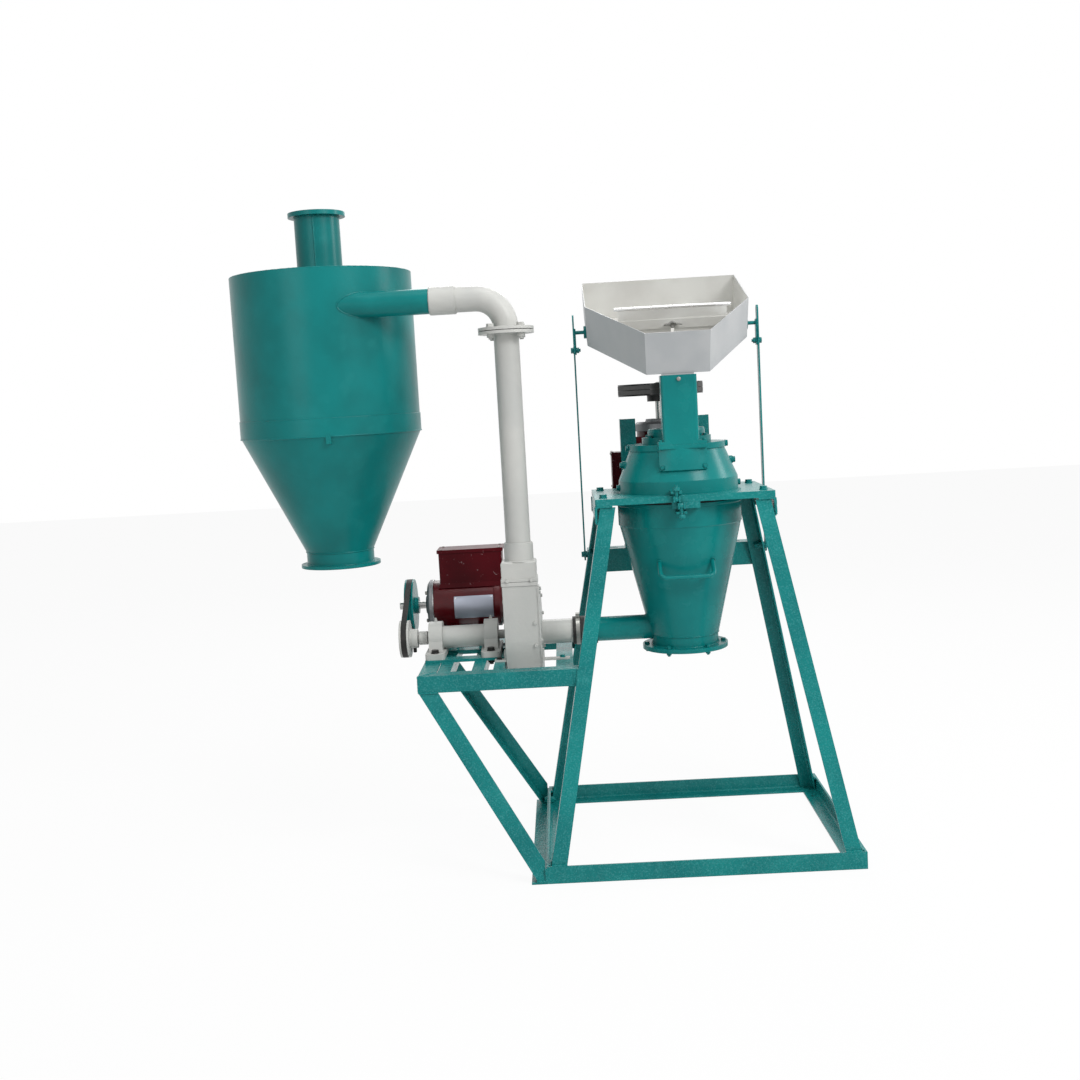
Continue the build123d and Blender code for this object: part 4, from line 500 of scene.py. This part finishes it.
# Seams of the lower cone, its outlet pipe and its handle
coneSeams = {"neckZ": 0.640, "neckRadius": 0.105, "flangeZ": 0.608, "taper": 0.2353, "topZ": 1.0435,
             "radius": 0.1885, "bead": 0.0024, "pipeZ": 0.662, "pipeRadius": 0.0375, "gripX": 0.079,
             "gripZ": 0.878, "gripRadius": 0.0075, "gripDown": 42 / 48}


def coneWelds():
    c = coneSeams
    rings = [(c["neckRadius"] - 0.001, c["flangeZ"], 1), (c["neckRadius"], c["neckZ"], 0.7),
             (c["radius"], c["topZ"], 1)]
    runs = [(levelRing((0, 0), radius, height), c["bead"] * share, True) for radius, height, share in rings]
    saddle = []
    for i in range(40):
        t = 2 * math.pi * i / 40
        y = c["pipeRadius"] * math.cos(t)
        z = c["pipeZ"] + c["pipeRadius"] * math.sin(t)
        radius = c["neckRadius"] + c["taper"] * max(0, z - c["neckZ"])
        saddle.append((-math.sqrt(radius ** 2 - y ** 2) - 0.0005, y, z))
    runs.append((saddle, c["bead"], True))
    # a collar of weld round each end of the handle
    radius = c["neckRadius"] + c["taper"] * (c["gripZ"] - c["neckZ"])
    gripY = -math.sqrt(radius ** 2 - c["gripX"] ** 2)
    turn = facing((0, -1, -c["gripDown"]))
    for side in (-1, 1):
        start = Vector((side * c["gripX"], gripY - 0.001, c["gripZ"]))
        collar = [tuple(start + turn @ Vector(point)) for point in levelRing((0, 0), c["gripRadius"], 0, 16)]
        runs.append((collar, c["bead"] * 0.9, True))
    weldSet("coneWelds", runs)


coneWelds()
print("cone seams done")


# Welds of the stand: leg feet, leg heads, shelf rails, braces and motor uprights
stand = {"footX": 0.451, "footY": 0.384, "leanX": 0.19323, "leanY": 0.16683, "footZ": 0.006,
         "legWide": 0.045, "flangeZ": 0.050, "headZ": 1.010, "headX": 0.262, "shelfZ": (0.550, 0.600),
         "shelfX": (-0.803, -0.351), "shelfY": 0.285, "bead": 0.0034, "braceX": -0.483, "braceY": 0.389,
         "braceTopWide": 0.056, "uprightX": (-0.158, -0.108, 0.080, 0.130), "uprightZ": 0.886,
         "uprightY": (0.262, 0.306)}


def legCorner(height):
    # outer corner of a leg at a height
    rise = height - stand["footZ"]
    return stand["footX"] - stand["leanX"] * rise, stand["footY"] - stand["leanY"] * rise


def standWelds():
    s = stand
    runs = []
    for sideX in (-1, 1):
        for sideY in (-1, 1):
            x, y = legCorner(s["flangeZ"])
            low = s["flangeZ"] - 0.001
            runs.append(([(sideX * (x - s["legWide"]), sideY * (y + 0.004), low),
                          (sideX * x, sideY * (y + 0.004), low)], s["bead"] * 1.2))
            runs.append(([(sideX * (x + 0.005), sideY * y, low),
                          (sideX * (x + 0.005), sideY * (y - s["legWide"]), low)], s["bead"] * 1.2))
            x, y = legCorner(s["headZ"])
            runs.append(([(sideX * (x + 0.002), sideY * y, s["headZ"] - 0.001),
                          (sideX * (x + 0.002), sideY * (y - s["legWide"]), s["headZ"] - 0.001)],
                         s["bead"]))
            runs.append(([(sideX * s["headX"], sideY * (y + 0.001), s["headZ"]),
                          (sideX * s["headX"], sideY * (y - 0.007), s["headZ"] + 0.048)], s["bead"] * 0.9))
    low, high = s["shelfZ"]
    left, right = s["shelfX"]
    for sideY in (-1, 1):
        ends = [(-legCorner(z)[0] - 0.001, sideY * (s["shelfY"] + 0.0005), z) for z in s["shelfZ"]]
        runs.append((ends, s["bead"]))
        runs.append(([(left, sideY * s["shelfY"], low), (left, sideY * s["shelfY"], high)],
                     s["bead"] * 0.9))
        runs.append(([(left, sideY * s["shelfY"], high),
                      (left + 0.047, sideY * (s["shelfY"] - 0.047), high)], s["bead"] * 0.6))
        runs.append(([(left, sideY * (s["shelfY"] + 0.001), low),
                      (left + s["braceTopWide"], sideY * (s["shelfY"] + 0.001), low)], s["bead"]))
        runs.append(([(right, sideY * (s["shelfY"] - 0.001), low),
                      (right, sideY * (s["shelfY"] - 0.001), high - 0.006)], s["bead"] * 0.8))
        runs.append(([(s["braceX"] - 0.004, sideY * s["braceY"], 0.007),
                      (s["braceX"] + 0.024, sideY * s["braceY"], 0.007)], s["bead"]))
    for x in s["uprightX"]:
        runs.append(([(x, s["uprightY"][0], s["uprightZ"]), (x, s["uprightY"][1], s["uprightZ"])],
                     s["bead"] * 0.8))
    weldSet("standWelds", runs, finish="tealBrushedEnamel")


standWelds()
print("stand welds done")


# Blower casing seams, the outlet stub's corners and the riser's socket and flanges
duct = {"left": -0.550, "right": -0.446, "axisZ": 0.662, "bigRadius": 0.150, "smallRadius": 0.120,
        "tongueY": -0.060, "outletZ": 0.835, "stubZ": (0.853, 0.899), "bead": 0.0028,
        "riser": (-0.496, -0.105), "pipeRadius": 0.0378, "socketRadius": 0.044,
        "socketZ": (0.903, 0.9555), "flangeZ": (1.5755, 1.5965), "couplingX": (-0.7155, -0.6395),
        "bendZ": 1.684}


def ductWelds():
    d = duct
    spiralEnd = 2 * math.pi - math.acos(-d["tongueY"] / d["smallRadius"])
    edge = []
    for i in range(61):
        turn = spiralEnd * i / 60
        radius = d["bigRadius"] - (d["bigRadius"] - d["smallRadius"]) * turn / spiralEnd - 0.0015
        edge.append((-radius * math.cos(turn), d["axisZ"] - radius * math.sin(turn)))
    runs = [([(d["left"] + 0.0015, y, z) for y, z in edge], d["bead"])]
    front = 0.0015 - d["bigRadius"]
    for x in (d["left"] + 0.0015, d["right"] - 0.0015):
        runs.append(([(x, front, d["axisZ"]), (x, front, d["outletZ"] - 0.006)], d["bead"]))
        for y in (front, d["tongueY"] - 0.0015):
            runs.append(([(x, y, d["stubZ"][0] + 0.009), (x, y, d["stubZ"][1])], d["bead"] * 0.9))
    rings = [(d["socketRadius"] + 0.0005, d["socketZ"][0], 1),
             (d["pipeRadius"] + 0.002, d["socketZ"][1], 1.1)]
    rings += [(d["pipeRadius"] + 0.001, height, 1) for height in d["flangeZ"]]
    runs += [(levelRing(d["riser"], radius, height, 40), d["bead"] * share, True)
             for radius, height, share in rings]
    for x in d["couplingX"]:
        ring = levelRing((d["riser"][1], d["bendZ"]), d["pipeRadius"] + 0.001, x, 40)
        runs.append(([(height, y, z) for y, z, height in ring], d["bead"] * 0.7, True))
    weldSet("ductWelds", runs, finish="greyCreamEnamel")


ductWelds()
print("duct welds done")


# Chute welds on its flange and down its back corners
chute = {"x": 0.053, "y": (-0.160, -0.113), "baseZ": 1.2352, "topZ": 1.424, "backY": -0.110, "bead": 0.0028,
         "screw": (0, -0.168, 1.416)}


def chuteWelds():
    c = chute
    runs = []
    for side in (-1, 1):
        runs.append(([(side * c["x"], y, c["baseZ"]) for y in c["y"]], c["bead"]))
        runs.append(([(side * (c["x"] - 0.003), c["backY"] + 0.001, c["baseZ"] + 0.03),
                      (side * (c["x"] - 0.003), c["backY"] + 0.001, c["topZ"])], c["bead"] * 0.8))
    weldSet("chuteWelds", runs)
    screw = placed(steppedTurning(6, 0.0066, 0.0058, [(0.0012, 0.0006)]), [(c["screw"], (0, -1, 0))])
    settle(screw, "chuteScrew", "machine", "zincPlatedBolts")


chuteWelds()
print("chute welds done")


# The blower motor's bare plate, wrapped on its front, with four rivets
plate = {"x": (-0.721, -0.596), "axisY": 0.202, "axisZ": 0.735, "radius": 0.0777, "thick": 0.0012,
         "topTurn": -24.5, "sweep": 54.8, "steps": 16, "inset": 0.005}


def onMotor(x, turnDegrees, radius):
    # a point on the blower motor's round body, turned down from its front
    t = math.radians(turnDegrees)
    return (x, plate["axisY"] - radius * math.cos(t), plate["axisZ"] - radius * math.sin(t))


def motorPlate():
    p = plate
    bpy.ops.object.select_all(action="DESELECT")
    bpy.ops.mesh.primitive_plane_add(size=1)
    obj = bpy.context.object
    axisPoint = Vector((0, p["axisY"], p["axisZ"]))
    middle = (sum(p["x"]) / 2, -p["radius"], 0)
    size = Matrix.Diagonal((p["x"][1] - p["x"][0], p["thick"], 1, 1))
    obj.matrix_world = (Matrix.Translation(axisPoint) @ Matrix.Rotation(math.radians(p["topTurn"]), 4, "X")
                        @ Matrix.Translation(middle) @ size)
    bpy.ops.object.transform_apply(location=True, rotation=True, scale=True)
    bpy.ops.object.mode_set(mode="EDIT")
    bpy.ops.mesh.select_all(action="SELECT")
    bpy.ops.mesh.spin(steps=p["steps"], angle=math.radians(-p["sweep"]), center=axisPoint, axis=(1, 0, 0))
    bpy.ops.object.mode_set(mode="OBJECT")
    softEdges(obj, 0.0004)
    settle(obj, "motorPlate", "machine", "anodisedPlate")
    places = []
    for x in (p["x"][0] + p["inset"], p["x"][1] - p["inset"]):
        for turn in (p["topTurn"] + 4, p["topTurn"] + p["sweep"] - 4):
            t = math.radians(turn)
            places.append((onMotor(x, turn, p["radius"] + 0.0004), (0, -math.cos(t), -math.sin(t))))
    rivets = placed(steppedTurning(12, 0.0021, 0.0007, [(0.0007, 0.0005)], 0.0002), places)
    settle(rivets, "plateRivets", "machine", "polishedStainless")


motorPlate()
print("motor plate done")


# End shield of the blower motor: its tie bolts, and the machined ring round its edge
shield = {"boltRadius": 0.0635, "boltFace": -0.8095, "boltCount": 4, "ringX": -0.7885,
          "ringRadius": 0.0803, "ringSteps": 64, "ringThick": 0.0012}


def endShield():
    s = shield
    places = []
    for i in range(s["boltCount"]):
        t = math.radians(45 + 90 * i)
        places.append(((s["boltFace"], plate["axisY"] + s["boltRadius"] * math.cos(t),
                        plate["axisZ"] + s["boltRadius"] * math.sin(t)), (-1, 0, 0)))
    bolts = placed(steppedTurning(6, 0.0062, 0.0052, [(0.0012, 0.0006)]), places)
    settle(bolts, "shieldBolts", "machine", "zincPlatedBolts")
    # machined light ring where the shield is spigoted into the body
    ring = []
    for i in range(s["ringSteps"]):
        t = 2 * math.pi * i / s["ringSteps"]
        ring.append((s["ringX"], plate["axisY"] + s["ringRadius"] * math.cos(t),
                     plate["axisZ"] + s["ringRadius"] * math.sin(t)))
    settle(weldRun(ring, s["ringThick"], True), "shieldRing", "machine", "polishedStainless")


endShield()
print("end shield done")


# Small pulley: a hexagon-headed set screw under its hub, and a cream collar on the shaft beside it
pulley = {"screw": (-0.840, 0, 0.6330), "collarX": -0.8235, "collarLong": 0.026, "collarRadius": 0.021,
          "axisZ": 0.662}


def pulleyParts():
    p = pulley
    screw = placed(steppedTurning(6, 0.0062, 0.014, [(0.0014, 0.0008)]), [(p["screw"], (0, 0, -1))])
    settle(screw, "pulleySetScrew", "blower_rotor", "oilyBlackSteel")
    collar = placed(steppedTurning(40, p["collarRadius"], p["collarLong"], [(0.003, 0.001)], 0.0008,
                                   (1, -1)), [((p["collarX"], 0, p["axisZ"]), (1, 0, 0))])
    settle(collar, "shaftCollar", "blower_rotor", "greyCreamEnamel")


pulleyParts()
print("pulley parts done")


# Cover screws of the two switch boxes
boxScrews = {"lidTop": 0.916, "lidMiddle": (-0.663, 0.202), "lidReach": (0.093, 0.043), "faceX": -0.188,
             "faceY": (0.331, 0.405), "faceZ": (1.075, 1.184)}


def boxCoverScrews():
    b = boxScrews
    places = [((b["lidMiddle"][0] + i * b["lidReach"][0], b["lidMiddle"][1] + j * b["lidReach"][1],
                b["lidTop"]), (0, 0, 1)) for i in (-1, 1) for j in (-1, 1)]
    places += [((b["faceX"], y, z), (-1, 0, 0)) for y in b["faceY"] for z in b["faceZ"]]
    screws = placed(steppedTurning(16, 0.0042, 0.0018, [(0.0012, 0.0007), (0.0012, -0.0012)], 0.0003),
                    places)
    settle(screws, "boxCoverScrews", "machine", "zincPlatedBolts")


boxCoverScrews()
print("box screws done")


# Gate: a polished rolled lip on its top edge, and a wing nut on the screw of the cross bar
gate = {"tilt": 17.6, "front": (0, -0.165, 1.431), "lipY": 0.165, "lipZ": 0.158, "lipHalf": 0.1735,
        "lipRadius": 0.0052, "nutY": 0.1587, "nutZ": 0.108, "nutRadius": 0.0095, "nutHigh": 0.0105}


def gateParts():
    g = gate
    tray = Matrix.Translation(g["front"]) @ Matrix.Rotation(math.radians(g["tilt"]), 4, "X")
    lip = steppedTurning(20, g["lipRadius"], 2 * g["lipHalf"], [(0.0012, 0.0008), (0.0016, -0.003)], 0.0004,
                         (1, -1))
    lip.matrix_world = tray @ Matrix.Translation((-g["lipHalf"], g["lipY"], g["lipZ"])) @ facing((1, 0, 0))
    settle(lip, "gateLip", "gate", "polishedStainless")
    hub = steppedTurning(20, g["nutRadius"], g["nutHigh"], [(0.002, 0.002), (0.0015, -0.001)])
    wings = []
    for side in (-1, 1):
        bpy.ops.object.select_all(action="DESELECT")
        bpy.ops.mesh.primitive_cube_add(size=1)
        wing = bpy.context.object
        wing.matrix_world = (Matrix.Translation((side * (g["nutRadius"] + 0.003), 0, 0.006))
                             @ Matrix.Diagonal((0.009, 0.0034, 0.009, 1)))
        bpy.ops.object.transform_apply(location=True, rotation=True, scale=True)
        bpy.ops.object.mode_set(mode="EDIT")
        pickFaces(wing, lambda place, normal: normal.x * side > 0.9)
        bpy.ops.mesh.extrude_region_move(TRANSFORM_OT_translate={"value": (side * 0.008, 0, 0.006)})
        bpy.ops.mesh.inset(thickness=0.0006)
        bpy.ops.mesh.extrude_region_move(TRANSFORM_OT_translate={"value": (side * 0.002, 0, 0.0015)})
        bpy.ops.object.mode_set(mode="OBJECT")
        softEdges(wing, 0.001)
        wings.append(wing)
    nut = joinAll([hub] + wings)
    nut.matrix_world = tray @ Matrix.Translation((0, g["nutY"], g["nutZ"])) @ facing((0, -1, 0))
    settle(nut, "wingNut", "hopper", "turnedSteel")


gateParts()
print("gate parts done")


# Room, light and camera

camera = {"place": (-0.3448, -3.9822, 1.3806), "yaw": -0.022, "pitch": 0.108, "roll": 0.056,
          "focalPixels": 1300, "framePixels": 1080, "sensorMm": 36}


def placeCamera():
    data = bpy.data.cameras.new("photoCamera")
    data.sensor_width = camera["sensorMm"]
    data.lens = camera["focalPixels"] / camera["framePixels"] * camera["sensorMm"]
    data.clip_end = 60
    yaw, pitch, roll = camera["yaw"], camera["pitch"], camera["roll"]
    forward = Vector((math.sin(yaw) * math.cos(pitch), math.cos(yaw) * math.cos(pitch), -math.sin(pitch)))
    level = Vector((math.cos(yaw), -math.sin(yaw), 0))
    down = forward.cross(level)
    right = level * math.cos(roll) + down * math.sin(roll)
    down = down * math.cos(roll) - level * math.sin(roll)
    turn = Matrix((right, -down, -forward)).transposed().to_4x4()
    obj = bpy.data.objects.new("photoCamera", data)
    obj.matrix_world = Matrix.Translation(camera["place"]) @ turn
    bpy.context.scene.collection.objects.link(obj)
    bpy.context.scene.camera = obj


room = {"floorSize": 30, "floorDrop": 0.0006, "whiteShare": 0.93, "worldGrey": 0.42, "floorGrey": 0.8}


def seenDirectly(tree):
    # 1 for rays that the eye follows, straight or through gloss or glass, and 0 for light on its way
    seen = addNode(tree, "ShaderNodeLightPath", {}, output="Is Camera Ray")
    for ray in ("Is Glossy Ray", "Is Transmission Ray"):
        other = addNode(tree, "ShaderNodeLightPath", {}, output=ray)
        seen = addNode(tree, "ShaderNodeMath", {0: seen, 1: other}, {"operation": "MAXIMUM"})
    return seen


def makeRoom():
    bpy.ops.object.select_all(action="DESELECT")
    bpy.ops.mesh.primitive_plane_add(size=room["floorSize"], location=(0, 0, -room["floorDrop"]))
    floor = bpy.context.object
    floor.name = "studioFloor"
    # pale paper that glows nearly white to the eye, and is grey to the light that falls on it
    material, tree = newMaterial("paleFloor")[:2]
    share = addNode(tree, "ShaderNodeMath", {0: seenDirectly(tree), 1: room["whiteShare"]},
                    {"operation": "MULTIPLY"})
    grey = room["floorGrey"]
    diffuse = addNode(tree, "ShaderNodeBsdfDiffuse", {"Color": (grey, grey, grey, 1)})
    glow = addNode(tree, "ShaderNodeEmission", {"Color": (1, 1, 1, 1), "Strength": 1})
    mixed = addNode(tree, "ShaderNodeMixShader", {0: share, 1: diffuse, 2: glow})
    addNode(tree, "ShaderNodeOutputMaterial", {"Surface": mixed})
    floor.data.materials.append(material)
    world = bpy.data.worlds.new("studioWorld")
    world.use_nodes = True
    tree = world.node_tree
    tree.nodes.clear()
    grey = room["worldGrey"]
    colour = addNode(tree, "ShaderNodeMix",
                     {0: seenDirectly(tree), 6: (grey, grey, grey, 1), 7: (1, 1, 1, 1)}, colourMix, 2)
    sky = addNode(tree, "ShaderNodeBackground", {"Color": colour, "Strength": 1})
    addNode(tree, "ShaderNodeOutputWorld", {"Surface": sky})
    bpy.context.scene.world = world


# every lamp points at the middle of the machine
lampAim = (-0.4, 0, 1)
lamps = {
    "keyLamp": {"place": (4.6, -5.4, 5.4), "size": 3.4, "power": 400},
    "sideLamp": {"place": (4.6, 0.7, 2.9), "size": 1.3, "power": 48},
    "fillLamp": {"place": (-3.2, -4.6, 2.4), "size": 2.6, "power": 30},
    "topLamp": {"place": (0.1, -0.9, 4.6), "size": 2.0, "power": 60},
    "backLamp": {"place": (-0.5, 3.8, 3.6), "size": 2.4, "power": 60},
}


def placeLamps():
    for name, lamp in lamps.items():
        data = bpy.data.lights.new(name, "AREA")
        data.shape = "DISK"
        data.size = lamp["size"]
        data.energy = lamp["power"]
        obj = bpy.data.objects.new(name, data)
        obj.location = lamp["place"]
        aim = Vector(lampAim) - Vector(lamp["place"])
        obj.rotation_euler = aim.to_track_quat("-Z", "Y").to_euler()
        bpy.context.scene.collection.objects.link(obj)


placeCamera()
makeRoom()
placeLamps()
view = bpy.context.scene.view_settings
view.view_transform = "Standard"
print("room, lamps and camera done")
